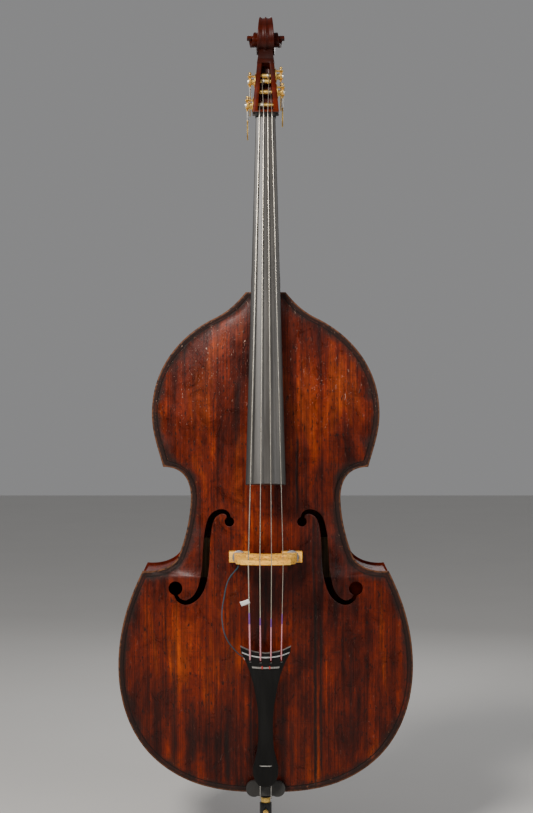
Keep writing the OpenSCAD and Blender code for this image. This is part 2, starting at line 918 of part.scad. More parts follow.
module tailpiece_fret() {
    color(brass)
        in_tail()
            difference() {
                intersection() {
                    tail_cut(concat(top_arc(10.5, 54, 6.4), reversed(top_arc(13.5, 54, 6.4))));
                    translate([0, crown, tail_len - 60])
                        cylinder(r = crown + fret_proud, h = 60, $fn = 96);
                }
                translate([0, crown, tail_len - 61])
                    cylinder(r = crown + 0.02, h = 62, $fn = 96);
            }
}

module tailpiece_bar() {
    color(steel)
        in_tail()
            translate([0, crown, tail_len - 42])
                difference() {
                    intersection() {
                        translate([-31, -crown - 8, -2])
                            cube([62, 30, 4]);
                        cylinder(r = crown + 2.5, h = 4, center = true, $fn = 96);
                    }
                    cylinder(r = crown + 0.02, h = 8, center = true, $fn = 96);
                }
}

saddle_y = -120;
saddle_r = 18;

module saddle() {
    color(ebony)
        difference() {
            translate([0, edge_y, drop + 12])
                rotate([90, 0, 0])
                    linear_extrude(edge_y - saddle_y) {
                        for (s = [-1, 1])
                            translate([s * 27, 0])
                                circle(r = saddle_r);
                        translate([-27, -saddle_r + 2])
                            square([54, 2 * saddle_r - 8]);
                    }
            behind_arch(edge_y);
        }
}

function tail_point(p) = tail_base + turn_x(p, tail_lean);
wire_front = -wire_r - 0.2;
wire_behind = 12;
plug_groove = -12;

function wire_half(s) = [
    tail_point([s * (wire_x - 3), wire_front, wire_u]),
    tail_point([s * wire_x, wire_front + 2, wire_u]),
    tail_point([s * wire_x, wire_behind, wire_u]),
    tail_point([s * wire_x, wire_behind + 3, wire_u - 4]),
    tail_point([s * wire_x, wire_behind + 1, 8]),
    [s * wire_x, saddle_y - wire_r - 0.4, drop + 27],
    [s * wire_x, saddle_y - wire_r - 0.4, drop - 6],
    [s * wire_x, saddle_y + 4, drop - 10.5],
    [s * (wire_x + 2), -20, drop + plug_groove + 1],
    [s * (plug_r + 1.9), -4, drop + plug_groove],
    [s * (plug_r + 1.5), 5, drop + plug_groove],
    [s * 10.5, 12.4, drop + plug_groove],
    [s * 1, 16.4, drop + plug_groove]];

// Rings of a path in any direction, carried along without twisting.
function mean_way(p, i) = unit(unit(p[min(i + 1, len(p) - 1)] - p[min(i, len(p) - 2)])
    + unit(p[max(i, 1)] - p[max(i - 1, 0)]));
function carried(p, i, a) = let (w = mean_way(p, i)) unit(a - (a * w) * w);
function carry(p, a, i = 0, out = []) = i == len(p) ? out
    : let (b = carried(p, i, a)) carry(p, b, i + 1, concat(out, [b]));
function carried_rings(p, r, n, a0) = let (f = carry(p, a0)) [for (i = [0:len(p) - 1])
    let (w = mean_way(p, i), a = f[i], b = cross(w, a)) [for (j = [0:n - 1])
        p[i] + r * (cos(360 * j / n) * a + sin(360 * j / n) * b)]];

module tail_wire() {
    color(steel)
        loft(carried_rings(concat(reversed(wire_half(-1)), wire_half(1)), wire_r, 8, [0, 0, 1]));
}

// ---------- Pickup lead, jack, tag ----------
lead_r = 1.25;
lead_way = [[-61.5, -214, 537], [-61.5, -214, 533], [-63, -213.5, 528], [-70, -212, 519.5],
    [-80, -210, 507], [-88, -208, 488], [-93, -206, 463], [-97.5, -205, 436], [-98, -204, 410],
    [-94, -201, 384], [-86, -195, 363], [-76, -185, 347], [-67, -174, 335], [-57.5, -164, 325],
    [-47, -160, 319]];

function smooth(p, i, t) = let (a = p[max(i - 1, 0)], b = p[i], c = p[i + 1],
    d = p[min(i + 2, len(p) - 1)])
    0.5 * (2 * b + (c - a) * t + (2 * a - 5 * b + 4 * c - d) * t * t
        + (3 * b - a - 3 * c + d) * t * t * t);
function smoothed(p, n) = concat([for (i = [0:len(p) - 2]) for (k = [0:n - 1])
    smooth(p, i, k / n)], [p[len(p) - 1]]);
lead_points = [for (p = smoothed(lead_way, 3)) p + [0, 0, drop]];

module pickup_lead() {
    color(rubber)
        loft(carried_rings(lead_points, lead_r, 8, [1, 0, 0]));
}

module pickup_jack() {
    color(steel)
        translate(lead_way[len(lead_way) - 1] + [0, 0, drop])
            rotate([0, 90, -26])
                cylinder(r = 6, h = 20);
}

module string_tag() {
    color([0.85, 0.85, 0.82])
        translate([-46, -240.7, drop + 453.4])
            rotate([22, -22, 0])
                cube([21, 0.5, 12], center = true);
}

// ---------- Endpin ----------
rod_r = 5;
tip_h = 32;
ferrule_h = 13;

module endpin_plug() {
    color(ebony)
        difference() {
            union() {
                translate([0, 0, drop])
                    cylinder(r = plug_r, h = plug_z);
                translate([0, 0, drop - 9])
                    cylinder(r = plug_r, h = 9);
                translate([0, 0, drop - 15])
                    cylinder(r = plug_r - 1, h = 6);
                translate([0, 0, drop - 32])
                    cylinder(r1 = 11, r2 = plug_r + 3, h = 17);
            }
            translate([0, 0, drop - 40])
                cylinder(r = rod_r + fit, h = plug_z + 60);
        }
}

ferrule_z = drop - 32 - ferrule_h;
screw_z = drop - 64;

module endpin_ferrule() {
    color(brass)
        translate([0, 0, ferrule_z])
            difference() {
                cylinder(r = 11, h = ferrule_h);
                translate([0, 0, -1])
                    cylinder(r = rod_r + fit, h = ferrule_h + 2);
            }
}

module endpin_collar() {
    color(rubber)
        difference() {
            translate([0, 0, ferrule_z - 35])
                cylinder(r = 14, h = 35);
            translate([0, 0, ferrule_z - 40])
                cylinder(r = rod_r + fit, h = 50);
            translate([0, 0, screw_z])
                rotate([90, 0, 0])
                    cylinder(r = 3 + fit, h = 30);
        }
}

module endpin_screw() {
    color(brass)
        translate([0, -rod_r - 0.3, screw_z])
            rotate([90, 0, 0]) {
                cylinder(r = 3, h = 18);
                translate([0, 0, 12])
                    cylinder(r = 6, h = 5);
                translate([-1.5, -9, 16])
                    cube([3, 18, 12]);
            }
}

module endpin_rod() {
    color(steel)
        translate([0, 0, tip_h - 12])
            cylinder(r = rod_r, h = rod_len);
}

module endpin_tip() {
    color(rubber)
        difference() {
            union() {
                cylinder(r1 = 10, r2 = 13, h = 12);
                translate([0, 0, 12])
                    cylinder(r1 = 13, r2 = 9, h = tip_h - 12);
            }
            translate([0, 0, tip_h - 12])
                cylinder(r = rod_r + 0.02, h = 20);
        }
}

belly();
back();
rib_upper(false);  // rib_upper_bass
rib_upper(true);  // rib_upper_treble
rib_centre(false);  // rib_centre_bass
rib_centre(true);  // rib_centre_treble
rib_lower(false);  // rib_lower_bass
rib_lower(true);  // rib_lower_treble
linings();
neck_block();
end_block();
corner_blocks();
bass_bar();
sound_post();
back_braces();
neck();
fingerboard();
nut();
saddle();
bridge();
bridge_foot(-1);  // bridge_foot_bass
bridge_foot(1);  // bridge_foot_treble
adjuster(-1);  // adjuster_bass
adjuster(1);  // adjuster_treble
pickup_elements();
pickup_lead();
pickup_jack();
tailpiece();
tailpiece_fret();
tailpiece_bar();
tail_wire();
string_tag();
string(0);  // string_e
string(1);  // string_a
string(2);  // string_d
string(3);  // string_g
machine_plates();
plate_screws();
roller(0);  // roller_e
roller(1);  // roller_a
roller(2);  // roller_d
roller(3);  // roller_g
gear(0);  // gear_e
gear(1);  // gear_a
gear(2);  // gear_d
gear(3);  // gear_g
gear_screw(0);  // gear_screw_e
gear_screw(1);  // gear_screw_a
gear_screw(2);  // gear_screw_d
gear_screw(3);  // gear_screw_g
key(0);  // key_e
key(1);  // key_a
key(2);  // key_d
key(3);  // key_g
endpin_plug();
endpin_ferrule();
endpin_collar();
endpin_screw();
endpin_rod();
endpin_tip();
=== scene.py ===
import json
import math
from contextlib import contextmanager

import bmesh
import bpy
import numpy as np
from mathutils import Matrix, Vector


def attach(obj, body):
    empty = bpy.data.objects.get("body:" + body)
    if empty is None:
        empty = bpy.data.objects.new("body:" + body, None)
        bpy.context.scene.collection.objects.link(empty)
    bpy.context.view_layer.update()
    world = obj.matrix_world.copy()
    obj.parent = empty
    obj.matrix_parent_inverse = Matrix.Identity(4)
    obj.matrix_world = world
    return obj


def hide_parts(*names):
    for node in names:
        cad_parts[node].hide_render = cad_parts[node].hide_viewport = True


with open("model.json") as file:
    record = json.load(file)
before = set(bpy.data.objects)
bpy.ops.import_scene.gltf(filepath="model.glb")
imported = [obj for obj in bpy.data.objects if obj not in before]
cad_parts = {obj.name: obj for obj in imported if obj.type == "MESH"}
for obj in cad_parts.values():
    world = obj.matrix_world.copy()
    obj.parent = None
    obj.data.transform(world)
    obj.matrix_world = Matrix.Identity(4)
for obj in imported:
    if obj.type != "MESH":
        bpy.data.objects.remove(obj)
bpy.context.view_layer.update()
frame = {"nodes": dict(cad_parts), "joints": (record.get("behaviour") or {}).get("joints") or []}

# Double bass. Lengths below are millimetres unless a name says otherwise; `place`
# turns them into metres. Heights called z are above the body's bottom edge.
MM = 0.001
DROP = 135                       # body's bottom edge above the floor
MAIN = "instrument"


def add_object(name, data):
    obj = bpy.data.objects.new(name, data)
    bpy.context.collection.objects.link(obj)
    return obj


# ---------- Camera: square on to the front ----------
camera_data = bpy.data.cameras.new("camera")
camera_data.lens, camera_data.sensor_width = 86.7, 36
camera_data.shift_x, camera_data.shift_y = 0.001, -0.0535
camera = add_object("camera", camera_data)
camera.location = (0, -4.6, 1.122)
camera.rotation_euler = (math.radians(90), 0, 0)
bpy.context.scene.camera = camera


# ---------- Node helpers ----------
def scaled(color, k):
    return tuple(k * c for c in color)


class Shader:
    """A material with a Principled shader and short ways to add nodes to it."""

    def __init__(self, name, rough=0.5, metal=0.0, shine=0.5):
        self.mat = bpy.data.materials.new(name)
        self.mat.use_nodes = True
        self.tree = self.mat.node_tree
        self.bsdf = self.tree.nodes["Principled BSDF"].inputs
        self.bsdf["Base Color"].default_value = (0.5, 0.5, 0.5, 1)
        self.bsdf["Roughness"].default_value = rough
        self.bsdf["Metallic"].default_value = metal
        self.bsdf["Specular IOR Level"].default_value = shine
        self.coord = self.node("TexCoord").outputs["Object"]

    def put(self, socket, value):
        """Links or sets a socket; None leaves it as it is."""
        if isinstance(value, bpy.types.NodeSocket):
            self.tree.links.new(value, socket)
        elif value is not None:
            socket.default_value = value

    def node(self, kind, inputs=(), **settings):
        node = self.tree.nodes.new("ShaderNode" + kind)
        for key, value in settings.items():
            setattr(node, key, value)
        for key, value in inputs:
            self.put(node.inputs[key], value)
        return node

    def math(self, op, a, b=None):
        return self.node("Math", [(0, a), (1, b)], operation=op).outputs[0]

    def times(self, a, b):
        return self.math("MULTIPLY", a, b)

    def noise(self, scale, vector=None, detail=4, rough=0.55, distort=0.0):
        """Noise over the place, or `vector`, times a scale for each axis."""
        stretched = self.node("VectorMath", [(0, vector or self.coord), (1, scale)],
            operation="MULTIPLY").outputs[0]
        return self.node("TexNoise", [("Vector", stretched), ("Scale", 1), ("Detail", detail),
            ("Roughness", rough), ("Distortion", distort)]).outputs["Fac"]

    def ramp(self, fac, stops):
        node = self.node("ValToRGB", [(0, fac)])
        marks = node.color_ramp.elements
        while len(marks) < len(stops):
            marks.new(0.5)
        for mark, (pos, value) in zip(marks, stops):
            mark.position = pos
            mark.color = (value,) * 3 + (1,) if isinstance(value, (int, float)) else (*value, 1)
        return node.outputs[0]

    def mix(self, fac, a, b, how="MIX"):
        a, b = ((*c, 1) if isinstance(c, tuple) else c for c in (a, b))
        return self.node("Mix", [("Factor", fac), ("A", a), ("B", b)], data_type="RGBA",
            blend_type=how).outputs["Result"]

    def shade(self, color, amount, fac, stops):
        """`color` multiplied, by the given amount, with a ramp over `fac`."""
        return self.mix(amount, color, self.ramp(fac, stops), "MULTIPLY")

    def attribute(self, name):
        return self.node("Attribute", attribute_name=name).outputs["Fac"]

    def axes(self):
        return self.node("SeparateXYZ", [(0, self.coord)]).outputs

    def span(self, value, a, b):
        """0 below a, 1 above b, or the other way round where a is the larger."""
        return self.node("MapRange", [("Value", value), ("From Min", min(a, b)),
            ("From Max", max(a, b)), ("To Min", int(a > b)), ("To Max", int(a < b))],
            interpolation_type="SMOOTHSTEP").outputs["Result"]

    def finish(self, color=None, rough=None, bumps=()):
        """Links the colour, the roughness and a chain of (height, depth in mm)."""
        normal = None
        for height, depth in bumps:
            normal = self.node("Bump", [("Distance", depth * MM), ("Height", height),
                ("Normal", normal)]).outputs[0]
        for key, value in (("Base Color", color), ("Roughness", rough), ("Normal", normal)):
            self.put(self.bsdf[key], value)
        return self.mat


# ---------- Materials: noise scales are marks per metre along x, y and z ----------
def streak(s, axes, x, low, high, width, strength):
    """A dark line or crack along the grain, also used for the bridge's painted shadow: place,
    lowest and highest z, half width.
    """
    wander = s.noise((3, 3, 7), detail=2)
    shifted = s.math("ADD", axes[0], s.times(s.math("SUBTRACT", wander, 0.5), 0.012))
    off = s.math("ABSOLUTE", s.math("SUBTRACT", shifted, x * MM))
    line = s.span(off, width * MM, 0.0)
    up = s.span(axes[2], (DROP + low - 15) * MM, (DROP + low + 15) * MM)
    down = s.span(axes[2], (DROP + high + 15) * MM, (DROP + high - 15) * MM)
    return s.times(s.times(line, up), s.times(down, strength))


# Place, lowest z, highest z, half width and strength of each dark line in the belly. The wide one
# just under the bridge, at x = 8, is the bridge's painted shadow.
STREAKS = [(114, 25, 440, 6.5, 1.0), (127, 50, 400, 4.5, 0.95), (72, 650, 820, 4.5, 0.9),
    (109, 445, 640, 4.2, 0.85), (-68, 800, 950, 12, 0.55), (-210, 75, 350, 9, 0.5),
    (-167, 70, 215, 11, 0.6), (-89, 25, 150, 9, 0.75), (-34, 30, 300, 5, 0.45),
    (60, 30, 170, 7, 0.5), (196, 120, 330, 6, 0.5), (-120, 820, 1010, 4, 0.5),
    # The first row here is the bridge's painted shadow, a wide dark band just under it
    (8, 430, 540, 26, 0.5), (150, 480, 560, 5, 0.5), (-150, 560, 700, 5, 0.45)]


def belly_material():
    s = Shader("belly_varnish_aged", rough=0.34, shine=0.2)
    axes = s.axes()
    tone = s.attribute("tone")
    edge = s.attribute("edge")
    broad = s.noise((13, 1, 2.6), detail=8, rough=0.68, distort=0.5)
    level = s.math("ADD", broad, tone)
    color = s.ramp(level, [(0.3, (0.008, 0.0016, 0.0006)), (0.43, (0.049, 0.004, 0.0004)),
        (0.56, (0.125, 0.011, 0.0005)), (0.74, (0.29, 0.044, 0.002))])
    # Figure of the wood, from plank-wide bands down to single year rings.
    bands = s.noise((60, 1, 1.3), detail=6, rough=0.72)
    middle = s.noise((190, 1, 2.2), detail=4, rough=0.7)
    fine = s.noise((560, 1, 5), detail=3, rough=0.6)
    blotch = s.noise((22, 1, 17), detail=8, rough=0.75, distort=0.8)
    color = s.shade(color, 0.9, bands, [(0.3, 0.3), (0.52, 0.95), (0.72, 1.6)])
    color = s.shade(color, 0.8, middle, [(0.3, 0.35), (0.52, 1.0), (0.72, 1.5)])
    color = s.shade(color, 0.8, fine, [(0.32, 0.55), (0.55, 1.05), (0.75, 1.25)])
    color = s.shade(color, 0.9, blotch, [(0.34, 0.45), (0.5, 1.0), (0.66, 1.5)])
    # Pits filled with dirt, and faint wear across the grain.
    pits = s.noise((210, 1, 60), detail=4, rough=0.65)
    color = s.mix(s.times(s.span(pits, 0.585, 0.65), 0.9), color, (0.01, 0.004, 0.003))
    across = s.noise((16, 1, 330), detail=3, rough=0.6)
    color = s.mix(s.times(s.span(across, 0.58, 0.68), 0.3), color, (0.012, 0.005, 0.004))
    # Dark lines and cracks in the wood, and one band of painted shadow under the bridge
    dark = None
    for row in STREAKS:
        one = streak(s, axes, *row)
        dark = one if dark is None else s.math("MAXIMUM", dark, one)
    ragged = s.span(s.noise((90, 1, 22), detail=4, rough=0.7), 0.2, 0.48)
    color = s.mix(s.times(dark, ragged), color, (0.008, 0.004, 0.003))
    # Grime towards the edge, a dark inlaid line, and bare worn wood on the rim.
    wobble = s.times(s.math("SUBTRACT", s.noise((20, 20, 20), detail=6, rough=0.65), 0.5), 0.06)
    near = s.math("ADD", edge, wobble)
    grime = s.times(s.span(near, 0.03, 0.006), 0.93)
    color = s.mix(grime, color, (0.012, 0.0055, 0.004))
    inlay = s.span(s.math("ABSOLUTE", s.math("SUBTRACT", edge, 0.0125)), 0.0016, 0.0007)
    color = s.mix(s.times(inlay, 0.85), color, (0.006, 0.004, 0.003))
    chips = s.noise((130, 130, 130), detail=5, rough=0.75)
    worn = s.times(s.span(edge, 0.0048, 0.0016), s.span(chips, 0.4, 0.52))
    spots = s.times(s.span(chips, 0.62, 0.68), s.span(edge, 0.034, 0.014))
    color = s.mix(s.times(s.math("MAXIMUM", worn, spots), 0.8), color,
        (0.17, 0.062, 0.024))
    nick = s.noise((190, 1, 420), detail=3, rough=0.65)
    scratch = s.noise((190, 1, 60), detail=4, rough=0.75, distort=1.5)
    nicks = s.math("MAXIMUM", s.span(nick, 0.695, 0.72), s.span(scratch, 0.66, 0.685))
    color = s.mix(s.times(nicks, s.attribute("nicks")), color, (0.5, 0.33, 0.25))
    rough = s.ramp(s.math("ADD", blotch, s.times(grime, 0.35)),
        [(0.35, 0.24), (0.6, 0.42), (0.95, 0.75)])
    crackle = s.noise((260, 260, 120), detail=5, rough=0.75)
    return s.finish(color, rough, [(middle, 0.3), (fine, 0.12), (crackle, 0.25), (chips, 0.35),
        (s.math("SUBTRACT", 1.0, s.math("MAXIMUM", dark, inlay)), 0.6)])


def maple_body_material(name, run=None, light=1.0, stains=()):
    """Varnished maple. The flame crosses `run`, an attribute, or z where there is none.
    Each stain: lowest and highest z, softness, amount and colour."""
    s = Shader(name, rough=0.3, shine=0.14)
    axes = s.axes()
    if run:
        vector = s.node("CombineXYZ", [(0, s.attribute(run)), (1, axes[1])]).outputs[0]
        flame = s.noise((95, 9, 1), vector, detail=3, rough=0.5, distort=0.5)
        grain = s.noise((12, 500, 1), vector, detail=4)
    else:
        flame = s.noise((7, 7, 80), detail=3, rough=0.5, distort=0.6)
        grain = s.noise((480, 480, 8), detail=4)
    patch = s.noise((6, 6, 3), detail=4)
    base = s.ramp(patch, [(0.3, scaled((0.05, 0.0045, 0.0006), light)),
        (0.5, scaled((0.12, 0.009, 0.0009), light)), (0.72, scaled((0.22, 0.026, 0.002), light))])
    color = s.shade(base, 0.6, flame, [(0.36, 0.55), (0.5, 1.0), (0.64, 1.5)])
    color = s.shade(color, 0.5, grain, [(0.3, 0.65), (0.6, 1.1)])
    marks = s.noise((120, 120, 60), detail=4, rough=0.7)
    color = s.mix(s.span(marks, 0.62, 0.72), color, (0.014, 0.006, 0.004))
    if run:
        rim = s.attribute("rim")
        chips = s.noise((160, 160, 160), detail=4, rough=0.7)
        worn = s.times(s.span(rim, 0.005, 0.001), s.span(chips, 0.42, 0.58))
        color = s.mix(worn, color, (0.3, 0.17, 0.1))
    for low, high, soft, amount, stain in stains:
        band = s.times(s.span(axes[2], low - soft, low + soft),
            s.span(axes[2], high + soft, high - soft))
        color = s.mix(s.times(band, amount), color, stain)
    rough = s.ramp(s.noise((25, 25, 25), detail=4), [(0.35, 0.22), (0.7, 0.5)])
    return s.finish(color, rough, [(grain, 0.08), (flame, 0.12), (marks, 0.1)])


def ebony_material(name, color=(0.006, 0.0058, 0.0055), rough=0.42):
    s = Shader(name, rough=rough, shine=0.12)
    pores = s.noise((700, 700, 14), detail=3, rough=0.65)
    cloud = s.noise((40, 40, 5), detail=4)
    mixed = s.mix(s.times(s.span(cloud, 0.4, 0.75), 0.5), color, scaled(color, 2.2))
    mixed = s.mix(s.times(s.span(pores, 0.56, 0.7), 0.6), mixed, scaled(color, 0.3))
    rough_map = s.ramp(s.noise((60, 60, 18), detail=5), [(0.3, rough - 0.1), (0.7, rough + 0.14)])
    return s.finish(mixed, rough_map, [(pores, 0.08)])


def board_material():
    """Satin ebony fingerboard, darker over its side faces, towards the crown's edges and over the
    quarter of its top on the lowest string's side: painted shade.
    """
    s = Shader("fingerboard_ebony", rough=0.42, shine=0.35)
    pores = s.noise((900, 900, 10), detail=3, rough=0.7)
    wide = s.noise((60, 20, 1.6), detail=5, rough=0.6)
    color = s.ramp(wide, [(0.3, (0.036, 0.033, 0.03)), (0.7, (0.09, 0.085, 0.078))])
    # Painted shade: darker over the side faces, the crown's edges and the lowest string's quarter
    # of the top
    color = s.mix(s.times(s.attribute("side"), 0.8), color, (0.03, 0.029, 0.029))
    color = s.mix(s.span(pores, 0.58, 0.72), color, (0.03, 0.028, 0.026))
    rough = s.ramp(wide, [(0.3, 0.3), (0.7, 0.46)])
    return s.finish(color, rough, [(pores, 0.07)])


def pale_maple_material():
    s = Shader("bridge_maple", rough=0.5, shine=0.25)
    grain = s.noise((26, 900, 340), detail=4, rough=0.6)
    flecks = s.noise((300, 60, 420), detail=2)
    color = s.ramp(s.noise((30, 30, 60), detail=4), [(0.3, (0.95, 0.42, 0.05)),
        (0.7, (1.0, 0.58, 0.1))])
    color = s.shade(color, 0.45, grain, [(0.3, 0.7), (0.6, 1.08)])
    color = s.mix(s.times(s.span(flecks, 0.56, 0.66), 0.7), color, (0.36, 0.15, 0.04))
    return s.finish(color, s.ramp(grain, [(0.3, 0.42), (0.7, 0.6)]), [(grain, 0.08)])


def spruce_material():
    s = Shader("bare_spruce_wood", rough=0.7)
    rings = s.noise((300, 300, 5), detail=3)
    color = s.ramp(rings, [(0.35, (0.36, 0.22, 0.1)), (0.6, (0.6, 0.43, 0.23))])
    return s.finish(color, None, [(rings, 0.1)])


def metal_material(name, color, rough, stain, amount):
    """Metal with a share of it clouded by a stain."""
    s = Shader(name, rough=rough, metal=1.0)
    cloud = s.noise((220, 220, 220), detail=5, rough=0.65)
    scratch = s.noise((1400, 1400, 160), detail=2)
    mixed = s.mix(s.times(s.span(cloud, 0.48, 0.72), amount), color, stain)
    rough_map = s.ramp(cloud, [(0.35, max(rough - 0.08, 0.05)), (0.7, rough + 0.22)])
    return s.finish(mixed, rough_map, [(scratch, 0.03)])


def string_material():
    s = Shader("string_flat_wound", rough=0.3, metal=1.0)
    turns = s.noise((60, 60, 2600), detail=1)
    color = s.ramp(s.noise((40, 40, 40), detail=3), [(0.3, (0.46, 0.42, 0.35)),
        (0.7, (0.68, 0.63, 0.53))])
    return s.finish(color, s.ramp(turns, [(0.3, 0.24), (0.7, 0.42)]), [(turns, 0.015)])


def thread_material(name, color):
    s = Shader(name, rough=0.75)
    ply = s.noise((500, 500, 2600), detail=2)
    mixed = s.mix(s.span(ply, 0.42, 0.6), scaled(color, 0.5), color)
    return s.finish(mixed, None, [(ply, 0.12)])


def plain_material(name, color, rough, scale=300, spread=0.25, depth=0.05, shine=0.4):
    """Moulded rubber, paper or paint, with a fine mottle in colour, gloss and surface."""
    s = Shader(name, rough=rough, shine=shine)
    fine = s.noise((scale, scale, scale), detail=4, rough=0.6)
    mixed = s.mix(s.span(fine, 0.35, 0.7), scaled(color, 1 - spread), scaled(color, 1 + spread))
    return s.finish(mixed, s.ramp(fine, [(0.3, rough - 0.08), (0.7, rough + 0.1)]), [(fine, depth)])


def element_material():
    s = Shader("pickup_wood", rough=0.4)
    stripe = s.noise((900, 60, 60), detail=2)
    color = s.ramp(stripe, [(0.4, (0.09, 0.03, 0.012)), (0.6, (0.36, 0.17, 0.07))])
    return s.finish(color, None, [(stripe, 0.08)])


BELLY = belly_material()
WORN_EDGE = plain_material("edge_worn_wood", (0.13, 0.05, 0.024), 0.5, 260, 0.8, 0.12)
BACK = maple_body_material("back_varnish_maple")
RIBS = maple_body_material("rib_varnish_maple", run="run")
HEAD = maple_body_material("head_varnish_maple", light=0.6, stains=[
    (1.775, 1.96, 0.03, 0.5, (0.012, 0.003, 0.0016)),        # darkened scroll
    (1.684, 1.7035, 0.001, 0.9, (0.045, 0.042, 0.039)),      # grey band across the foot of the pegbox
    (1.829, 1.872, 0.012, 0.75, (0.012, 0.004, 0.003))])     # painted shade in the hollow under the scroll, with some dirt
EBONY = ebony_material("ebony_satin")
# Polished ebony for the saddle, paler than the rest: its grey is a painted sheen
SADDLE = ebony_material("ebony_polished_painted_sheen", (0.035, 0.034, 0.032), 0.3)
# Paler ebony for the tailpiece's upward faces: a painted highlight where the light from above falls
EBONY_LIT_TOP = ebony_material("ebony_top_painted_highlight", (0.13, 0.128, 0.122), 0.3)
BOARD = board_material()
MAPLE = pale_maple_material()
SPRUCE = spruce_material()
BRASS = metal_material("brass_worn", (0.84, 0.56, 0.16), 0.3, (0.2, 0.11, 0.035), 0.7)
NICKEL = metal_material("nickel_steel", (0.88, 0.87, 0.84), 0.32, (0.3, 0.27, 0.22), 0.4)
WIRE = metal_material("wire_dull_steel", (0.36, 0.35, 0.33), 0.34, (0.12, 0.11, 0.1), 0.6)
WHEEL = metal_material("wheel_aluminium", (0.3, 0.3, 0.31), 0.38, (0.12, 0.12, 0.12), 0.6)
STRING = string_material()
PINK = thread_material("silk_pink", (0.95, 0.42, 0.47))
PURPLE = thread_material("silk_purple", (0.24, 0.1, 0.4))
RED = thread_material("thread_red", (0.5, 0.04, 0.03))
RUBBER = plain_material("rubber_tip", (0.02, 0.02, 0.02), 0.75, 500, 0.3, 0.1)
BONE = metal_material("fret_grey", (0.62, 0.63, 0.62), 0.4, (0.3, 0.3, 0.3), 0.4)
BLACK = plain_material("black_enamel", (0.015, 0.015, 0.016), 0.35, 400, 0.25, 0.03)
PAPER = plain_material("paper_tag", (0.78, 0.77, 0.73), 0.8, 600, 0.05, 0.04)
LEAD = plain_material("lead_sleeve_dark", (0.022, 0.075, 0.1), 0.5, 900, 0.3, 0.05, 0.2)
ELEMENT = element_material()


# ---------- Mesh helpers ----------
ROUND = np.linspace(0, 2 * math.pi, 49)[:-1]     # angles of a circle in 48 steps


def place(points):
    """Millimetres to metres."""
    return np.asarray(points, float) * MM


@contextmanager
def edited(mesh):
    """A mesh opened for editing, and written back afterwards."""
    work = bmesh.new()
    work.from_mesh(mesh)
    yield work
    work.to_mesh(mesh)
    work.free()


def taken(mesh):
    """Points in mm and faces of a helper mesh, which is then removed."""
    points = [tuple(v.co / MM) for v in mesh.vertices]
    faces = [list(f.vertices) for f in mesh.polygons]
    bpy.data.meshes.remove(mesh)
    return points, faces


def piece(name, verts, faces, materials, body=MAIN, smooth=True, doubles=0.02, angle=None):
    """New object from points in mm, with its normals outward and doubles merged."""
    mesh = bpy.data.meshes.new(name)
    mesh.from_pydata([tuple(v) for v in place(verts)], [],
        [tuple(int(i) for i in f) for f in faces])
    with edited(mesh) as work:
        if doubles:
            bmesh.ops.remove_doubles(work, verts=work.verts, dist=doubles * MM)
        bmesh.ops.dissolve_degenerate(work, edges=work.edges, dist=1e-6)
        bmesh.ops.recalc_face_normals(work, faces=work.faces)
    for material in materials if isinstance(materials, (list, tuple)) else [materials]:
        mesh.materials.append(material)
    if smooth:
        mesh.shade_smooth()
    if angle:
        mesh.set_sharp_from_angle(angle=math.radians(angle))
    obj = add_object(name, mesh)
    if body:
        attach(obj, body)
    return obj


def apply_modifiers(obj):
    """Bakes an object's modifiers into its mesh."""
    bpy.context.view_layer.update()
    graph = bpy.context.evaluated_depsgraph_get()
    mesh = bpy.data.meshes.new_from_object(obj.evaluated_get(graph))
    obj.modifiers.clear()
    old = obj.data
    obj.data = mesh
    mesh.name = old.name
    bpy.data.meshes.remove(old)


def cut_out(obj, cutters):
    """Cuts the shapes of `cutters` out of an object, once its modifiers are applied."""
    for cutter in cutters:
        cut = obj.modifiers.new("cut", "BOOLEAN")
        cut.object = cutter
        cut.solver = "EXACT"


def bevel_edges(obj, width, segments, angle, material=-1):
    """Rounds the edges sharper than `angle`, once its modifiers are applied."""
    bevel = obj.modifiers.new("bevel", "BEVEL")
    bevel.width = width * MM
    bevel.segments = segments
    bevel.limit_method = "ANGLE"
    bevel.angle_limit = math.radians(angle)
    bevel.material = material


def loft_faces(rings, n, caps=True, closed=True):
    """Faces of a skin through `rings` rings of n points each."""
    faces = []
    for i in range(rings - 1):
        for j in range(n if closed else n - 1):
            a, b = i * n + j, i * n + (j + 1) % n
            faces.append((a, b, b + n, a + n))
    if caps:
        faces.append(list(range(n)))
        faces.append([(rings - 1) * n + j for j in reversed(range(n))])
    return faces


def shapes(parts):
    """Joins (points, faces) pairs into one."""
    verts, faces = [], []
    for points, own in parts:
        start = len(verts)
        verts.extend(points)
        faces.extend([[i + start for i in f] for f in own])
    return verts, faces


def softened(node, width, material, segments=2, body=MAIN, *, slot):
    """Copy of a CAD node with its sharp edges rounded by a width in mm, which stands for it."""
    mesh = frame["nodes"][node].data.copy()
    with edited(mesh) as work:
        bmesh.ops.remove_doubles(work, verts=work.verts, dist=2e-6)
    mesh.materials.clear()
    mesh.materials.append(material)
    obj = add_object(node + "_finished", mesh)
    flat = obj.modifiers.new("flat", "DECIMATE")
    flat.decimate_type = "DISSOLVE"
    flat.angle_limit = math.radians(1.5)
    bevel_edges(obj, width, segments, 35)
    apply_modifiers(obj)
    obj.data.shade_smooth()
    obj.data.set_sharp_from_angle(angle=math.radians(32))
    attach(obj, body)
    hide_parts(node)
    return obj


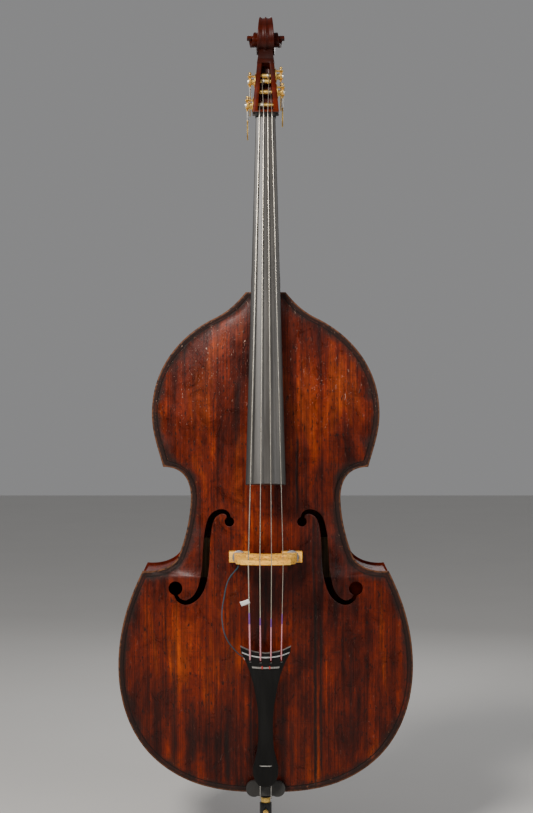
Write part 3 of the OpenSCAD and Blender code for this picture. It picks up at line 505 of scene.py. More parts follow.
def tube(points, radii, sides):
    """Points and faces of a closed tube; its rings are carried along without twisting."""
    points = np.asarray(points, float)
    ways = np.gradient(points, axis=0)
    ways /= np.linalg.norm(ways, axis=1)[:, None]
    up = np.array([1.0, 0.013, 0.007])
    verts = []
    for p, w, r in zip(points, ways, np.broadcast_to(radii, len(points))):
        up = up - w * (up @ w)
        up /= np.linalg.norm(up)
        side = np.cross(w, up)
        for j in range(sides):
            a = 2 * math.pi * j / sides
            verts.append(p + r * (math.cos(a) * up + math.sin(a) * side))
    return verts, loft_faces(len(points), sides)


def turn_x(p, degrees):
    """Points turned about the x axis, from +y towards +z."""
    a = math.radians(degrees)
    p = np.asarray(p, float)
    return np.stack([p[..., 0], p[..., 1] * math.cos(a) - p[..., 2] * math.sin(a),
        p[..., 1] * math.sin(a) + p[..., 2] * math.cos(a)], -1)


NUT_AT = np.array([0, -73, DROP + 1563])
NECK_TILT, HEAD_TILT = 10.8, 22.8     # lean of the neck and of the pegbox, in degrees


def neck_frame(p):
    """From the neck's own frame: +z runs up the neck from the nut, and y = 0 is the board's top."""
    return NUT_AT + turn_x(p, -NECK_TILT)


def head_frame(p):
    return NUT_AT + turn_x(p, -HEAD_TILT)


def eased(table, n):
    """Rows of a table, run through smoothly with n steps between neighbours."""
    t = np.asarray(table, float)
    out = []
    for i in range(len(t) - 1):
        a, b, c, d = t[max(i - 1, 0)], t[i], t[i + 1], t[min(i + 2, len(t) - 1)]
        for k in range(n):
            q = k / n
            out.append(0.5 * (2 * b + (c - a) * q + (2 * a - 5 * b + 4 * c - d) * q * q
                + (3 * b - a - 3 * c + d) * q ** 3))
    out.append(t[-1])
    return np.array(out)


# ---------- Pickup lead: made before everything else but the camera ----------
# The lead's middle line, from the pickup to the jack beside the tailpiece
LEAD_WAY = [(-61.5, -214, 537), (-61.5, -214, 533), (-63, -213.5, 528), (-70, -212, 519.5),
    (-80, -210, 507), (-88, -208, 488), (-93, -206, 463), (-97.5, -205, 436), (-98, -204, 410),
    (-94, -201, 384), (-86, -195, 363), (-76, -185, 347), (-67, -174, 335), (-57.5, -164, 325),
    (-47, -160, 319)]
LEAD_R = 1.25
lead_points = eased(LEAD_WAY, 4) + np.array([0, 0, DROP])
lead = piece("pickup_lead_cable", *tube(lead_points, LEAD_R, 12), LEAD)
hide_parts("pickup_lead")

# ---------- Outline of the body, right half ----------
# Four control points (x, z), steps, and the heights on the centre line that the first
# and the last point's cross line runs to.
UPPER = [((46, 1150), (64, 1128), (84, 1106), (120, 1089), 4, 1080, 1055),
    ((120, 1089), (180, 1060), (262, 990), (262, 870), 8, 1055, 870),
    ((262, 870), (262, 825), (246, 786), (236, 748), 4, 870, 775)]
CENTRE = [((236, 748), (196, 748), (172, 725), (172, 675), 6, 775, 675),
    ((172, 675), (174, 620), (188, 575), (200, 544), 4, 675, 560),
    ((200, 544), (208, 523), (240, 505), (283, 509), 5, 560, 478)]
LOWER = [((283, 509), (308, 458), (339, 385), (339, 290), 6, 478, 290),
    ((339, 290), (339, 190), (300, 115), (250, 72), 7, 290, 150),
    ((250, 72), (185, 16), (110, 0), (14, 0), 7, 150, 100)]
FINER = 4                        # outline steps for each step of the solid model
BODY_LEN = 1150
EDGE_Y, SEAT_Y, BACK_Y = -100, -93, 94     # belly's edge, its seat on the ribs, inside of the back
OVERHANG, RIB_T, BACK_T = 6, 2.5, 6        # plates past the ribs, and two thicknesses
BEND_Z, BEND_SLOPE = 820, 0.15             # where the back bends towards the neck, and how much
NECK_HALF, END_HALF = 46, 14               # straight ends of the half outline


def outline(rows):
    points, spine = [], []
    for p0, p1, p2, p3, steps, z0, z1 in rows:
        for k in range(steps * FINER):
            t = k / (steps * FINER)
            b = [(1 - t) ** 3, 3 * (1 - t) ** 2 * t, 3 * (1 - t) * t * t, t ** 3]
            points.append(sum(w * np.array(p, float) for w, p in zip(b, (p0, p1, p2, p3))))
            spine.append(z0 + (z1 - z0) * t)
    return points, spine


TOP_STEPS = (0, 0.2, 0.4, 0.6, 0.8)


def full_half():
    """Half outline with the two straight ends, and the height each cross line runs to."""
    points, spine = outline(UPPER + CENTRE + LOWER)
    points.append(np.array([float(END_HALF), 0.0]))
    spine.append(LOWER[-1][-1])
    top = [np.array([NECK_HALF * q, float(BODY_LEN)]) for q in TOP_STEPS]
    low = [np.array([END_HALF * q, 0.0]) for q in (0.66, 0.33, 0)]
    spine = [UPPER[0][-2]] * len(top) + spine + [LOWER[-1][-1]] * len(low)
    return np.array(top + points + low), np.array(spine)


HALF, SPINE = full_half()
CORNER_UP = len(TOP_STEPS) + sum(row[4] for row in UPPER) * FINER
CORNER_LOW = CORNER_UP + sum(row[4] for row in CENTRE) * FINER
ARCH_S = [0, 0.09, 0.2, 0.36, 0.58, 0.8, 1]      # share of a cross line, from the edge
ARCH_H = [0, 0, 0.2, 0.52, 0.84, 0.97, 1]        # share of the arch's rise there
ARCH_RISE = 30


def arch_height(s):
    """Share of the arch's rise at the share s of a cross line, smoothed."""
    total = 0
    for d in (-0.06, -0.03, 0, 0.03, 0.06):
        total = total + np.interp(np.abs(s + d), ARCH_S, ARCH_H)
    return np.where(s > 0.97, 0.995, total / 5)


def rise(z):
    """Height of the arch on the centre line."""
    return ARCH_RISE * (1 - (2 * z / BODY_LEN - 1) ** 2)


# Rounded rim of a plate: distance in from the outline, and depth behind its face
RIM = [(0, 4.6), (0.2, 2.6), (0.9, 1.1), (2.2, 0.3), (4.5, 0), (8, 0.1), (11.8, 0.35),
    (12.5, 0.6), (13.2, 0.35), (18, 1.0), (25, 0.9)]
INNER_STEPS, INSIDE_STEPS = 18, 12
FULL_RIM = 90                    # on cross lines shorter than this the rim is scaled down


def plate(face, seat, outer):
    """Closed plate. face and seat give y at (z, spine height, share) outside and inside."""
    verts, rows = [], []
    for side in (1, -1):
        for p, top in zip(HALF, SPINE):
            way = np.array([0.0, top]) - p
            length = np.linalg.norm(way)
            shrink = min(1, length / FULL_RIM)
            shares = [0.0] + [d * shrink / length for d, dip in RIM]
            depths = [None] + [dip for d, dip in RIM]
            first = shares[-1]
            for k in range(1, INNER_STEPS + 1):
                shares.append(first + (1 - first) * k / INNER_STEPS)
                depths.append(0.9 * (1 - k / INNER_STEPS) ** 6)
            ring = []
            for s, dip in zip(shares, depths):
                x, z = p + way * s
                y = seat(z, top, 0) if dip is None else face(z, top, s) + dip * outer
                verts.append((side * x, y, z + DROP))
                ring.append(len(verts) - 1)
            inside = []
            for s in np.linspace(0, 1, INSIDE_STEPS)[1:]:
                x, z = p + way * s
                verts.append((side * x, seat(z, top, s), z + DROP))
                inside.append(len(verts) - 1)
            rows.append((ring, [ring[0]] + inside))
    faces = []
    half = len(HALF)
    for start in (0, half):
        for i in range(start, start + half - 1):
            for one, two in zip(rows[i], rows[i + 1]):
                for k in range(len(one) - 1):
                    faces.append((one[k], one[k + 1], two[k + 1], two[k]))
    return verts, faces


def rim_distance(mesh):
    """Points of a mesh, and how far each is from the outline as seen from the front, in m."""
    co = np.empty(len(mesh.vertices) * 3)
    mesh.vertices.foreach_get("co", co)
    co = co.reshape(-1, 3)
    flat = co[:, [0, 2]] / MM
    best = np.full(len(flat), 1e9)
    for side in (1, -1):
        half = HALF * [side, 1] + [0, DROP]
        for p0, w in zip(half, np.diff(half, axis=0)):
            t = np.clip(((flat - p0) @ w) / max(w @ w, 1e-9), 0, 1)
            best = np.minimum(best, np.linalg.norm(flat - (p0 + t[:, None] * w), axis=1))
    return co, best * MM


def store(mesh, name, values):
    """Gives a mesh a named value at every vertex."""
    layer = mesh.attributes.new(name, "FLOAT", "POINT")
    layer.data.foreach_set("value", np.asarray(values, dtype=np.float32))


# ---------- Belly ----------
# Middle line of the sound hole's slot, right half: x, z, half width; and its two eyes
F_LINE = [(84, 632, 4), (88, 643, 4.5), (101, 647, 5.5), (117, 640, 6.5), (127, 624, 7),
    (133, 596, 7.5), (136, 560, 8), (138, 520, 8), (143, 488, 8), (151, 464, 7.5),
    (164, 447, 6.5), (182, 438, 5.5), (198, 443, 5), (207, 456, 4)]
F_EYES = [(83, 624, 11), (207, 470, 16)]


def sound_hole(side):
    """Three solids that cut one f-hole: its slot and its two round eyes."""
    line = eased(F_LINE, 5)
    way = np.gradient(line[:, :2], axis=0)
    way /= np.linalg.norm(way, axis=1)[:, None]
    out = line[:, 2:] * np.stack([way[:, 1], -way[:, 0]], 1)
    rings = [np.concatenate([line[:, :2] + out, (line[:, :2] - out)[::-1]])]
    for x, z, r in F_EYES:
        rings.append(np.stack([x + r * np.cos(ROUND), z + r * np.sin(ROUND)], 1))
    parts = []
    for ring in rings:
        points = [(side * x, y, z + DROP) for y in (EDGE_Y - 60, SEAT_Y + 8) for x, z in ring]
        parts.append((points, loft_faces(2, len(ring))))
    return parts


belly = piece("belly_carved", *plate(
    lambda z, top, s: EDGE_Y - rise(top) * float(arch_height(np.array(s))),
    lambda z, top, s: SEAT_Y - rise(top) * float(arch_height(np.array(s))), 1), BELLY)


def relax(obj, spots, rounds):
    """Evens out the arching around each of some spots: x, z, reach, in mm."""
    mesh = obj.data
    co, rim = rim_distance(mesh)
    flat = co[:, [0, 2]] / MM - [0, DROP]
    weight = np.zeros(len(co))
    for x0, z0, reach in spots:
        far = np.linalg.norm(flat - [x0, z0], axis=1) / reach
        weight = np.maximum(weight, np.clip(1.6 - 1.6 * far, 0, 1))
    weight *= np.clip((rim / MM - 8) / 14, 0, 1)     # the rim stays as it is
    ends = np.empty(len(mesh.edges) * 2, dtype=np.int64)
    mesh.edges.foreach_get("vertices", ends)
    a, b = ends[::2], ends[1::2]
    degree = np.bincount(ends, minlength=len(co))
    depth = co[:, 1].copy()
    for _ in range(rounds):
        total = np.bincount(a, depth[b], len(co)) + np.bincount(b, depth[a], len(co))
        depth += 0.7 * weight * (total / degree - depth)
    co[:, 1] = depth
    mesh.vertices.foreach_set("co", co.ravel())
    mesh.update()


relax(belly, [(side * x, z, reach) for side in (1, -1)
    for x, z, reach in ((200, 505, 110), (185, 735, 90))], rounds=120)
cutters = [piece("cutter_%d_%d" % (side, k), *part, BELLY, body=None, smooth=False)
    for side in (1, -1) for k, part in enumerate(sound_hole(side))]
cut_out(belly, cutters)
belly.data.materials.append(WORN_EDGE)
bevel_edges(belly, 0.9, 2, 60, material=1)
apply_modifiers(belly)
for cutter in cutters:
    bpy.data.objects.remove(cutter)
belly.data.shade_smooth()
belly.data.set_sharp_from_angle(angle=math.radians(50))

# Brighter and darker places of the varnish: x, z, reach in x and z, amount. The darker place at (0,
# 500), just under the bridge, is painted shadow of the bridge.
TONES = [(-215, 330, 80, 120, 0.13), (-175, 900, 70, 90, 0.08), (150, 905, 60, 90, 0.07),
    (190, 290, 70, 130, 0.05), (60, 230, 45, 130, 0.05), (-60, 300, 60, 120, 0.03),
    (0, 620, 40, 60, 0.06), (-140, 110, 90, 60, -0.12), (-45, 410, 30, 60, -0.16),
    # The first row here is painted shadow under the bridge
    (0, 500, 110, 45, -0.07), (240, 150, 80, 80, -0.07), (-190, 780, 40, 30, -0.05),
    (-75, 1040, 60, 50, 0.05), (-250, 200, 60, 80, -0.05), (150, 420, 60, 60, -0.03)]
points, rim = rim_distance(belly.data)
x, z = points[:, 0] / MM, points[:, 2] / MM - DROP
tone = np.zeros(len(x))
for x0, z0, rx, rz, amount in TONES:
    tone += amount * np.exp(-((x - x0) / rx) ** 2 - ((z - z0) / rz) ** 2)
store(belly.data, "edge", rim)
store(belly.data, "tone", tone)
store(belly.data, "nicks", np.clip((z - 780) / 120, 0.15, 1))
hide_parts("belly")


# ---------- Back ----------
BEND_LEN = 12                    # the bend is spread over this height


def back_plane(z):
    """Inner face of the back at the height z, with a soft bend."""
    over = np.maximum(z - BEND_Z, 0)
    soft = np.where(over < BEND_LEN, over * over / (2 * BEND_LEN), over - BEND_LEN / 2)
    return BACK_Y - soft * BEND_SLOPE


back_verts, back_faces = plate(lambda z, top, s: back_plane(z) + BACK_T,
    lambda z, top, s: back_plane(z), -0.85)
BUTTON_R, BUTTON_Z = 30, BODY_LEN + 14
button = []
# Rings of the button's rounded rim: distance in from its edge, and depth from its inner face
for less, depth in ((0, 0.4), (0, 4.2), (0.8, 5.4), (2.2, 5.9)):
    r = BUTTON_R - less
    for a in ROUND:
        z = BUTTON_Z + r * math.sin(a)
        button.append((r * math.cos(a), float(back_plane(z)) + depth, z + DROP))
back = piece("back_flat", *shapes([(back_verts, back_faces),
    (button, loft_faces(4, len(ROUND)))]), BACK, angle=50)
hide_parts("back")


# ---------- Ribs ----------
def inset(points, d):
    """Half outline moved in by d, with mitred corners."""
    ways = np.diff(points, axis=0)
    ways /= np.linalg.norm(ways, axis=1)[:, None]
    normal = np.stack([ways[:, 1], -ways[:, 0]], 1)
    n0 = np.concatenate([normal[:1], normal])
    n1 = np.concatenate([normal, normal[-1:]])
    return points + d * (n0 + n1) / (1 + (n0 * n1).sum(1))[:, None]


RIB_OUT, RIB_IN = inset(HALF, OVERHANG), inset(HALF, OVERHANG + RIB_T)
RIB_ROWS = {"rib_upper": (0, CORNER_UP), "rib_centre": (CORNER_UP, CORNER_LOW),
    "rib_lower": (CORNER_LOW, len(HALF) - 1)}
# Rings across a rib, as shares of its depth: close to its edges the steps are short
RIB_SHARES = [0, 0.006, 0.02, 0.2, 0.4, 0.6, 0.8, 0.98, 0.994, 1]
for name, (a, b) in RIB_ROWS.items():
    for side, word in ((1, "treble"), (-1, "bass")):
        verts, runs, rims = [], [], []
        run = 0.0
        for i in range(a, b + 1):
            if i > a:
                run += np.linalg.norm(RIB_OUT[i] - RIB_OUT[i - 1])
            for (px, pz), shares in ((RIB_OUT[i], RIB_SHARES), (RIB_IN[i], RIB_SHARES[::-1])):
                depth = float(back_plane(pz)) - SEAT_Y
                for q in shares:
                    verts.append((side * px, SEAT_Y + depth * q, pz + DROP))
                    runs.append(run * MM)
                    rims.append(min(q, 1 - q) * depth * MM)
        n = 2 * len(RIB_SHARES)
        rib = piece(name + "_" + word + "_skin", verts, loft_faces(b - a + 1, n), RIBS,
            doubles=None, angle=45)
        store(rib.data, "run", runs)
        store(rib.data, "rim", rims)
        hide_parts(name + "_" + word)

# ---------- Neck, pegbox and scroll ----------
# Fingerboard: length, depth and half width at the nut and at the lower end, and its crown
BOARD_LEN, BOARD_D0, BOARD_D1, NUT_HALF, BOARD_HALF, CROWN = 860, 15, 27, 22.5, 45, 70


def board_under(u):
    """Depth of the board's glued face at the height u along the neck."""
    return BOARD_D0 + (BOARD_D1 - BOARD_D0) * -u / BOARD_LEN


def board_half(u):
    return NUT_HALF + (BOARD_HALF - NUT_HALF) * -u / BOARD_LEN


# Height, half width and back of the neck, from the heel up
NECK_ROWS = [(-460, 34, 230), (-384, 33, 190), (-366, 31, 104), (-338, 29, 62), (-300, 27.5, 50),
    (-150, 25, 45), (-6, 22.5, 42), (16, 22.5, 40)]


def cut_away(work, point, normal):
    """Removes what lies on the normal's side of a plane, and closes the cut."""
    found = bmesh.ops.bisect_plane(work, geom=work.verts[:] + work.edges[:] + work.faces[:],
        plane_co=Vector(point) * MM, plane_no=Vector(normal), clear_outer=True)
    edges = [e for e in found["geom_cut"] if isinstance(e, bmesh.types.BMEdge)]
    bmesh.ops.contextual_create(work, geom=edges)


def neck_shaft():
    """Neck and heel, cut off square at the body's edge and along the back."""
    side = 6                     # straight height of the neck's sides under the board
    rows = eased(NECK_ROWS, 6)
    turn = np.radians(np.linspace(0, 180, 25))
    verts = []
    for u, half, back_depth in rows:
        front = board_under(u)
        ring = [(half, front)] + [(half * math.cos(t), front + side
            + (back_depth - front - side) * math.sin(t)) for t in turn] + [(-half, front)]
        verts.extend(neck_frame([(x, y, u) for x, y in ring]))
    mesh = bpy.data.meshes.new("shaft")
    mesh.from_pydata([tuple(v) for v in place(verts)], [], loft_faces(len(rows), 27))
    with edited(mesh) as work:
        cut_away(work, (0, 0, BODY_LEN - 5 + DROP), (0, 0, -1))
        cut_away(work, (0, float(back_plane(BODY_LEN)), BODY_LEN + DROP), (0, 1, BEND_SLOPE))
        bmesh.ops.triangulate(work, faces=[f for f in work.faces if len(f.verts) > 4])
    return taken(mesh)


BOX_U0, BOX_U1, BOX_W0, BOX_W1 = -6, 138, 32, 20      # pegbox: lower and upper end, half widths
CHEEK = 12


def box_half(u):
    """Half width of the pegbox at the height u along it."""
    return BOX_W0 + (BOX_W1 - BOX_W0) * (u - BOX_U0) / (BOX_U1 - BOX_U0)


def block(u0, w0, d0, u1, w1, d1, f0=0, f1=0):
    """Tapered block: height, half width and back of its lower and upper end, and its fronts."""
    ring = [(w0, f0, u0), (w0, d0, u0), (-w0, d0, u0), (-w0, f0, u0),
        (w1, f1, u1), (w1, d1, u1), (-w1, d1, u1), (-w1, f1, u1)]
    return list(head_frame(ring)), loft_faces(2, 4)


def pegbox():
    """Cheeks and floor of the pegbox, rounded, with the slot for the rollers."""
    box = piece("pegbox_part", *block(BOX_U0, BOX_W0, 52, 150, box_half(150), 38), HEAD, body=None,
        smooth=False)
    slot = piece("cutter_slot", *block(10, box_half(10) - CHEEK, 39, BOX_U1, box_half(BOX_U1) - 11,
        27, -2, -2), HEAD, body=None, smooth=False)
    seat = neck_frame([(x, y, u) for u in (-30, 5) for x, y in ((50, -50), (50, 15.2), (-50, 15.2),
        (-50, -50))])
    notch = piece("cutter_nut", list(seat), loft_faces(2, 4), HEAD, body=None, smooth=False)
    # Wedge under the pegbox, which leaves its floor running into the neck
    rising = [(x, y, z) for x, z in ((-50, -60), (-50, 0), (50, 0), (50, -60)) for y in (-10, 110)]
    foot = piece("cutter_foot", list(head_frame(turn_x(rising, HEAD_TILT + 8) + [0, 0, BOX_U0])),
        [(0, 2, 3, 1), (2, 4, 5, 3), (4, 6, 7, 5), (6, 0, 1, 7), (0, 6, 4, 2), (1, 3, 5, 7)], HEAD,
        body=None, smooth=False)
    cut_out(box, (slot, notch, foot))
    bevel_edges(box, 2.2, 3, 35)
    apply_modifiers(box)
    mesh = box.data
    for obj in (box, slot, notch, foot):
        bpy.data.objects.remove(obj)
    return taken(mesh)


SCROLL_Y, SCROLL_U = 19, 208
# Turn in degrees from the back over the crown, radius and half width of the volute
VOLUTE = [(-50, 62, 17.5), (0, 58.5, 14.5), (60, 58.5, 12.8), (90, 58.7, 12.8), (135, 55, 15.5),
    (180, 49, 18.5), (225, 43, 20), (270, 37, 21), (315, 32, 22), (360, 28, 23), (405, 24.5, 24.5),
    (450, 21.5, 26.5), (540, 18.5, 30.5), (630, 16.5, 34.5), (720, 15, 38.5), (810, 13.2, 42.5),
    (900, 11.5, 44.4)]
# Half section across the back of the volute: share of the half width, depth below its crest
FLUTE = [(0, 0), (0.07, 0.3), (0.2, 2.2), (0.42, 3.4), (0.62, 2.6), (0.8, 0.3), (0.93, 0), (1, 0.6)]
FLUTES = [(-q, dip) for q, dip in FLUTE[:0:-1]] + FLUTE


def scroll():
    """Volute with its two eyes, wound outwards to both sides."""
    rows = eased(VOLUTE, 10)
    angles, radii = rows[:, 0], rows[:, 1]
    verts = []
    for angle, r, w in rows:
        # Each turn reaches just under the next one, and the last one nearly to the middle.
        inner = np.interp(angle + 360, angles, radii) - 1.5 if angle + 360 < angles[-1] else 0.8
        a = math.radians(angle)
        out = np.array([0, math.cos(a), math.sin(a)])
        depth = min(1, r / 40)
        ring = [(q * w, r - dip * depth) for q, dip in FLUTES] + [(w, inner), (-w, inner)]
        for x, reach in ring:
            verts.append(head_frame(np.array([x, SCROLL_Y, SCROLL_U]) + out * reach))
    return verts, loft_faces(len(rows), len(FLUTES) + 2)


def throat():
    """Solid between the pegbox and the volute: height, half width, front, back."""
    rows = eased([(140, 20.5, 4, 36), (150, 19, 2, 42), (162, 17.2, 1, 54), (176, 16, 2, 64),
        (192, 15, 4, 71), (206, 14, 8, 74)], 4)
    verts = []
    for u, half, front, behind in rows:
        right = [(half, front), (half, behind - 1.5), (0.93 * half, behind),
            (0.45 * half, behind - 3)]
        for x, y in right + [(0, behind)] + [(-x, y) for x, y in reversed(right)]:
            verts.append(head_frame((x, y, u)))
    return verts, loft_faces(len(rows), 9)


head = piece("neck_and_scroll", *shapes([neck_shaft(), pegbox(), throat(), scroll()]), HEAD,
    doubles=0.005, angle=38)
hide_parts("neck")


def fingerboard():
    """Points and faces of the board, and how much painted shade each point gets: full on the side
    faces, rising towards the crown's edges, and some over the quarter of the top on the lowest
    string's side.
    """
    verts, sides = [], []
    rows = np.linspace(-BOARD_LEN, -6, 40)
    across = np.linspace(-1, 1, 25)
    for u in rows:
        half, under = board_half(u), board_under(u)
        edge = CROWN - math.sqrt(CROWN ** 2 - half ** 2)
        side = [(-half + 2.5, under), (-half, under - 0.8), (-half, edge + 2.2),
            (-half + 0.4, edge + 0.9)]
        ring = list(side)
        for q in across:
            px = q * (half - 1.2)
            ring.append((px, CROWN - math.sqrt(CROWN ** 2 - px * px)))
        ring += [(-px, py) for px, py in reversed(side)]
        verts.extend(neck_frame([(px, py, u) for px, py in ring]))
        # Painted shade, rising towards the crown's edges, and some over the lowest string's quarter
        # of the top
        shade = [0.75 * max(0, (abs(q) - 0.8) / 0.2) + 0.35 * (q < -0.55) for q in across]
        sides += [1.0] * 4 + shade + [1.0] * 4
    return verts, loft_faces(len(rows), len(across) + 8), sides


verts, faces, sides = fingerboard()
board = piece("fingerboard_worn", verts, faces, BOARD, doubles=None, angle=35)
store(board.data, "side", sides)
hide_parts("fingerboard")

# ---------- Strings ----------
# Each list runs from the lowest string to the highest.
STRING_R = [1.35, 1.1, 0.9, 0.7]
BRIDGE_Z = 546
BRIDGE_Y = [-271.5, -280.3, -280.3, -271.5]      # middle line where the string crosses the bridge
TAIL_Y = [-191.4, -199.4, -199.4, -191.4]        # and where it crosses the tailpiece's fret
TAIL_Z, SILK_END, KNOT_Z = 336, 325, 316.5       # the fret, the last straight point, and the end
BRIDGE_SPACING, NUT_SPACING, TAIL_SPACING = 25.6, 9.6, 23.6
NUT_TOP = -2.2
SIDE = [-1, -1, 1, 1]            # which way each roller's gear end points
GEAR_U = [32, 96, 111, 67]       # height of each roller along the pegbox
WIND_X = [9, 5, 5, 9.2]          # place of each string's two turns along its roller
ROLLER_Y, WIND_R, TURN_GAP = 16, 6.35, 0.3
DRUM_INSET, AXLE_OUT = 13.2, 11  # in from the pegbox's side to the drum, out to the gear
SILK_Z = [429, 418, 417, 427]    # top of each string's silk, and where its colour changes
SILK_CHANGE = [402, 400, 396, 402]


def tail_run(i, z):
    """Point of a string between the bridge and the tailpiece."""
    t = (BRIDGE_Z - 6 - z) / (BRIDGE_Z - 6 - TAIL_Z)
    return ((i - 1.5) * (BRIDGE_SPACING + (TAIL_SPACING - BRIDGE_SPACING) * t),
        BRIDGE_Y[i] + (TAIL_Y[i] - BRIDGE_Y[i]) * t, DROP + z)


def string_shape(i):
    """Run from the roller over the nut's two edges and the bridge's to the tailpiece: points
    and faces, in steel and then in silk, and how many of the faces are steel."""
    r, k = STRING_R[i], i - 1.5
    steel = [(head_frame((SIDE[i] * (WIND_X[i] + 3 * r + TURN_GAP), ROLLER_Y - WIND_R - r,
        GEAR_U[i])), 0.8 * r),
        (neck_frame((k * NUT_SPACING, NUT_TOP, 3.5)), r),
        (neck_frame((k * NUT_SPACING, NUT_TOP, -6.5)), r),
        ((k * BRIDGE_SPACING, BRIDGE_Y[i], DROP + BRIDGE_Z + 4), r),
        (tail_run(i, BRIDGE_Z - 6), r), (tail_run(i, SILK_Z[i]), r)]
    silk = [(tail_run(i, SILK_Z[i]), r + 0.1), (tail_run(i, SILK_Z[i] - 2), r + 0.5),
        (tail_run(i, SILK_CHANGE[i] + 1), r + 0.5), (tail_run(i, SILK_CHANGE[i] - 1), r + 0.5),
        (tail_run(i, SILK_END), r + 0.5),
        ((k * TAIL_SPACING, TAIL_Y[i] + 11.5, DROP + KNOT_Z), r + 0.3)]
    parts = [tube(*zip(*run), 10) for run in (steel, silk)]
    return *shapes(parts), len(parts[0][1])


def round_roller(i, x, reach, a):
    """Point at x along a roller's axis, and at a distance and an angle round it."""
    return head_frame((SIDE[i] * x, ROLLER_Y + reach * math.cos(a), GEAR_U[i]
        + reach * math.sin(a)))


def roller_shape(i, steps=40):
    """Roller turned round its own axis: journal, drum, journal and the gear's seat."""
    half = box_half(GEAR_U[i])
    drum, end = half - DRUM_INSET, half + AXLE_OUT
    # Place along the axis, and radius
    profile = [(5.4 - half, 4.6), (5.8 - half, 5), (-drum, 5), (-drum, 5.7), (0.3 - drum, 6),
        (drum - 0.3, 6), (drum, 5.7), (drum, 5), (end, 5), (end, 4), (end + 4.7, 4),
        (end + 5, 3.7), (end + 5, 2), (end - 6, 2)]
    verts = [round_roller(i, x, r, 2 * math.pi * k / steps) for x, r in profile
        for k in range(steps)]
    return verts, loft_faces(len(profile), steps)


def turn_shape(i, x, steps=40, sides=10):
    """One turn of a string round its roller."""
    r, verts = 0.97 * STRING_R[i], []
    for k in range(steps):
        a = 2 * math.pi * k / steps
        for j in range(sides):
            b = 2 * math.pi * j / sides
            reach = WIND_R + STRING_R[i] + r * math.cos(b)
            verts.append(round_roller(i, x + r * math.sin(b), reach, a))
    return verts, [[v % len(verts) for v in face] for face in loft_faces(steps + 1, sides,
        caps=False)]


for i, letter in enumerate("eadg"):
    verts, faces, n_steel = string_shape(i)
    string = piece("string_%s_wire" % letter, verts, faces, [STRING, PURPLE, PINK], doubles=None,
        angle=50)
    for face in string.data.polygons[n_steel:]:
        height = face.center.z / MM - DROP
        face.material_index = 1 if height > SILK_CHANGE[i] else 2
    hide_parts("string_" + letter)
    roller = piece("roller_%s_turned" % letter, *roller_shape(i), BRASS, body="gear_" + letter,
        doubles=None, angle=35)
    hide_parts("roller_" + letter)
    r = STRING_R[i]
    wound = piece("string_%s_turns" % letter, *shapes([turn_shape(i, WIND_X[i] - r),
        turn_shape(i, WIND_X[i] + r)]), STRING, body="gear_" + letter, doubles=None)

# ---------- Fittings that keep the solid model's shape, with their edges rounded ----------
softened("nut", 0.7, EBONY, slot="ebony")
softened("saddle", 2.0, SADDLE, 3, slot="ebony")
tail = softened("tailpiece", 1.2, EBONY, 3, slot="ebony")
tail.data.materials.append(EBONY_LIT_TOP)
for face in tail.data.polygons:
    if face.normal.z > 0.72:         # faces pointing up get the paler ebony: a painted highlight of the light from above on the end grain
        face.material_index = 1
softened("bridge", 0.9, MAPLE, slot="maple")
for word in ("bass", "treble"):
    softened("bridge_foot_" + word, 0.9, MAPLE, slot="maple")
    softened("adjuster_" + word, 0.8, WHEEL, body="adjuster_" + word, slot="wheel_metal")
softened("endpin_plug", 1.2, EBONY, slot="ebony")
softened("endpin_ferrule", 0.7, BRASS, slot="old_brass")
softened("endpin_collar", 1.0, BLACK, slot="black_metal")
softened("endpin_screw", 0.6, BRASS, body="endpin_screw", slot="old_brass")
softened("endpin_tip", 1.5, RUBBER, body="endpin", slot="tip_rubber")
# Plated lengths of a key, along its axis from its joint
PLATED = [(-37, -12), (2, 11)]
for letter in "eadg":
    key = softened("key_" + letter, 0.5, BRASS, body="key_" + letter, slot="old_brass")
    key.data.materials.append(NICKEL)
    joint = next(j for j in frame["joints"] if j["name"] == "key_%s_spin" % letter)
    for face in key.data.polygons:
        along = (face.center - Vector(joint["pos_m"])).dot(Vector(joint["axis"])) / MM
        if any(low < along < high for low, high in PLATED):
            face.material_index = 1

FINISH = ((SPRUCE, "linings neck_block end_block corner_blocks bass_bar sound_post back_braces"),
    (BRASS, "machine_plates plate_screws gear_e gear_a gear_d gear_g"),
    (NICKEL, "pickup_jack endpin_rod gear_screw_e gear_screw_a gear_screw_d gear_screw_g"),
    (BONE, "tailpiece_fret"), (WIRE, "tailpiece_bar tail_wire"), (ELEMENT, "pickup_elements"))
for material, nodes in FINISH:
    for node in nodes.split():
        for own_slot in frame["nodes"][node].material_slots:
            own_slot.material = material

# ---------- Red thread on the tailpiece's bar ----------
TAIL_FOOT = np.array([0, -143, DROP + 22])
TAIL_LEAN = math.degrees(math.atan(52 / 324))
BAR_AT = TAIL_FOOT + turn_x((0, -0.9, 282), TAIL_LEAN)
COIL_R, COIL_LEN, COIL_STEPS, STEPS_A_TURN = 3.3, 3.2, 60, 12
for n, middle in enumerate((-8, 9)):
    coil = []
    for k in range(COIL_STEPS + 1):
        a = 2 * math.pi * k / STEPS_A_TURN
        coil.append((middle + COIL_LEN * (k / COIL_STEPS - 0.5), COIL_R * math.cos(a),
            COIL_R * math.sin(a)))
    wrap = piece("bar_thread_%d" % n, *tube(BAR_AT + turn_x(coil, TAIL_LEAN), 0.45, 6), RED,
        doubles=None)

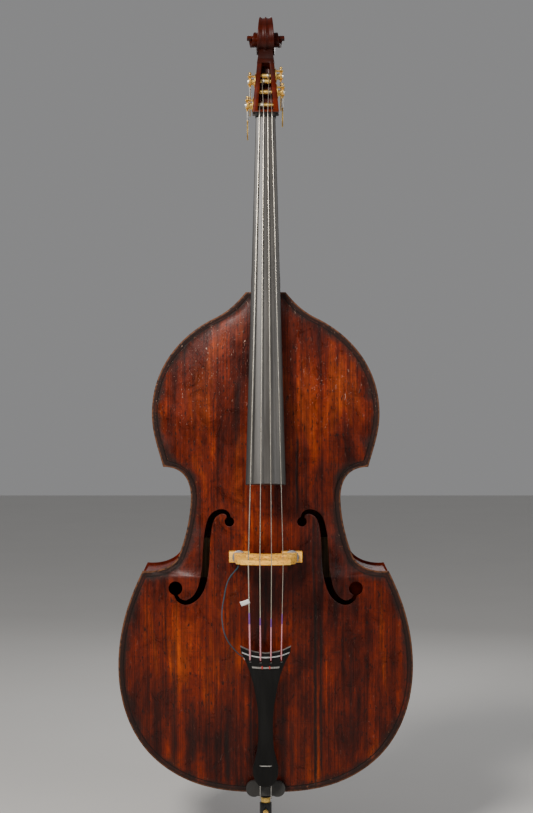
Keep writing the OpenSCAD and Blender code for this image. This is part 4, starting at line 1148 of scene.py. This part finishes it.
# ---------- Paper tag folded over the lowest string ----------
TAG_AT = np.array([-46, -240.5, DROP + 453.4])
TAG_LEN, TAG_TURN, TAG_ROWS = 21, 22, 9
TAG_ACROSS = (-6, -3, 0, 3, 6)
tilt = math.radians(TAG_TURN)
verts = []
for t in np.linspace(0, 1, TAG_ROWS):
    for width in TAG_ACROSS:
        px, pz = TAG_LEN * (t - 0.5), width * (1 - 0.1 * t)
        flat = (px * math.cos(tilt) - pz * math.sin(tilt), -0.9 * math.sin(math.pi * t) ** 2,
            px * math.sin(tilt) + pz * math.cos(tilt))
        verts.append(TAG_AT + turn_x(flat, TAG_TURN))
tag = piece("string_tag_paper", verts,
    loft_faces(TAG_ROWS, len(TAG_ACROSS), caps=False, closed=False), PAPER, doubles=None)
thick = tag.modifiers.new("thick", "SOLIDIFY")
thick.thickness = 0.35 * MM
apply_modifiers(tag)
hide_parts("string_tag")

# ---------- Floor and light ----------
floor_mat = Shader("floor_pale", rough=0.7)
cloud = floor_mat.noise((2, 2, 2), detail=3)
floor_mat.finish(floor_mat.mix(cloud, (0.6, 0.59, 0.57), (0.64, 0.63, 0.61)))
FAR = 12000
floor = piece("floor", [(x * FAR, y * FAR, -0.5) for x, y in ((-1, -1), (1, -1), (1, 1), (-1, 1))],
    [(0, 1, 2, 3)], floor_mat.mat, body=None, smooth=False)

world = bpy.data.worlds.new("studio")
bpy.context.scene.world = world
world.use_nodes = True
sky = world.node_tree.nodes["Background"].inputs
sky["Color"].default_value = (0.84, 0.84, 0.85, 1)
sky["Strength"].default_value = 0.3


def area_light(name, at, aim, size, power, color=(1, 1, 1)):
    data = bpy.data.lights.new(name, "AREA")
    data.shape = "RECTANGLE"
    data.size, data.size_y = size
    data.energy = power
    data.color = color
    obj = add_object(name, data)
    obj.location = at
    obj.rotation_euler = (Vector(aim) - Vector(at)).to_track_quat("-Z", "Y").to_euler()


area_light("key", (-1.5, -3.0, 3.2), (0, 0, 0.85), (1.0, 0.8), 200, (1, 0.96, 0.91))
area_light("fill", (2.6, -3.0, 2.2), (0, 0, 0.9), (1.2, 1.6), 34)
area_light("back", (0.6, 2.8, 2.2), (0, 0, 1.0), (1.8, 1.6), 18)
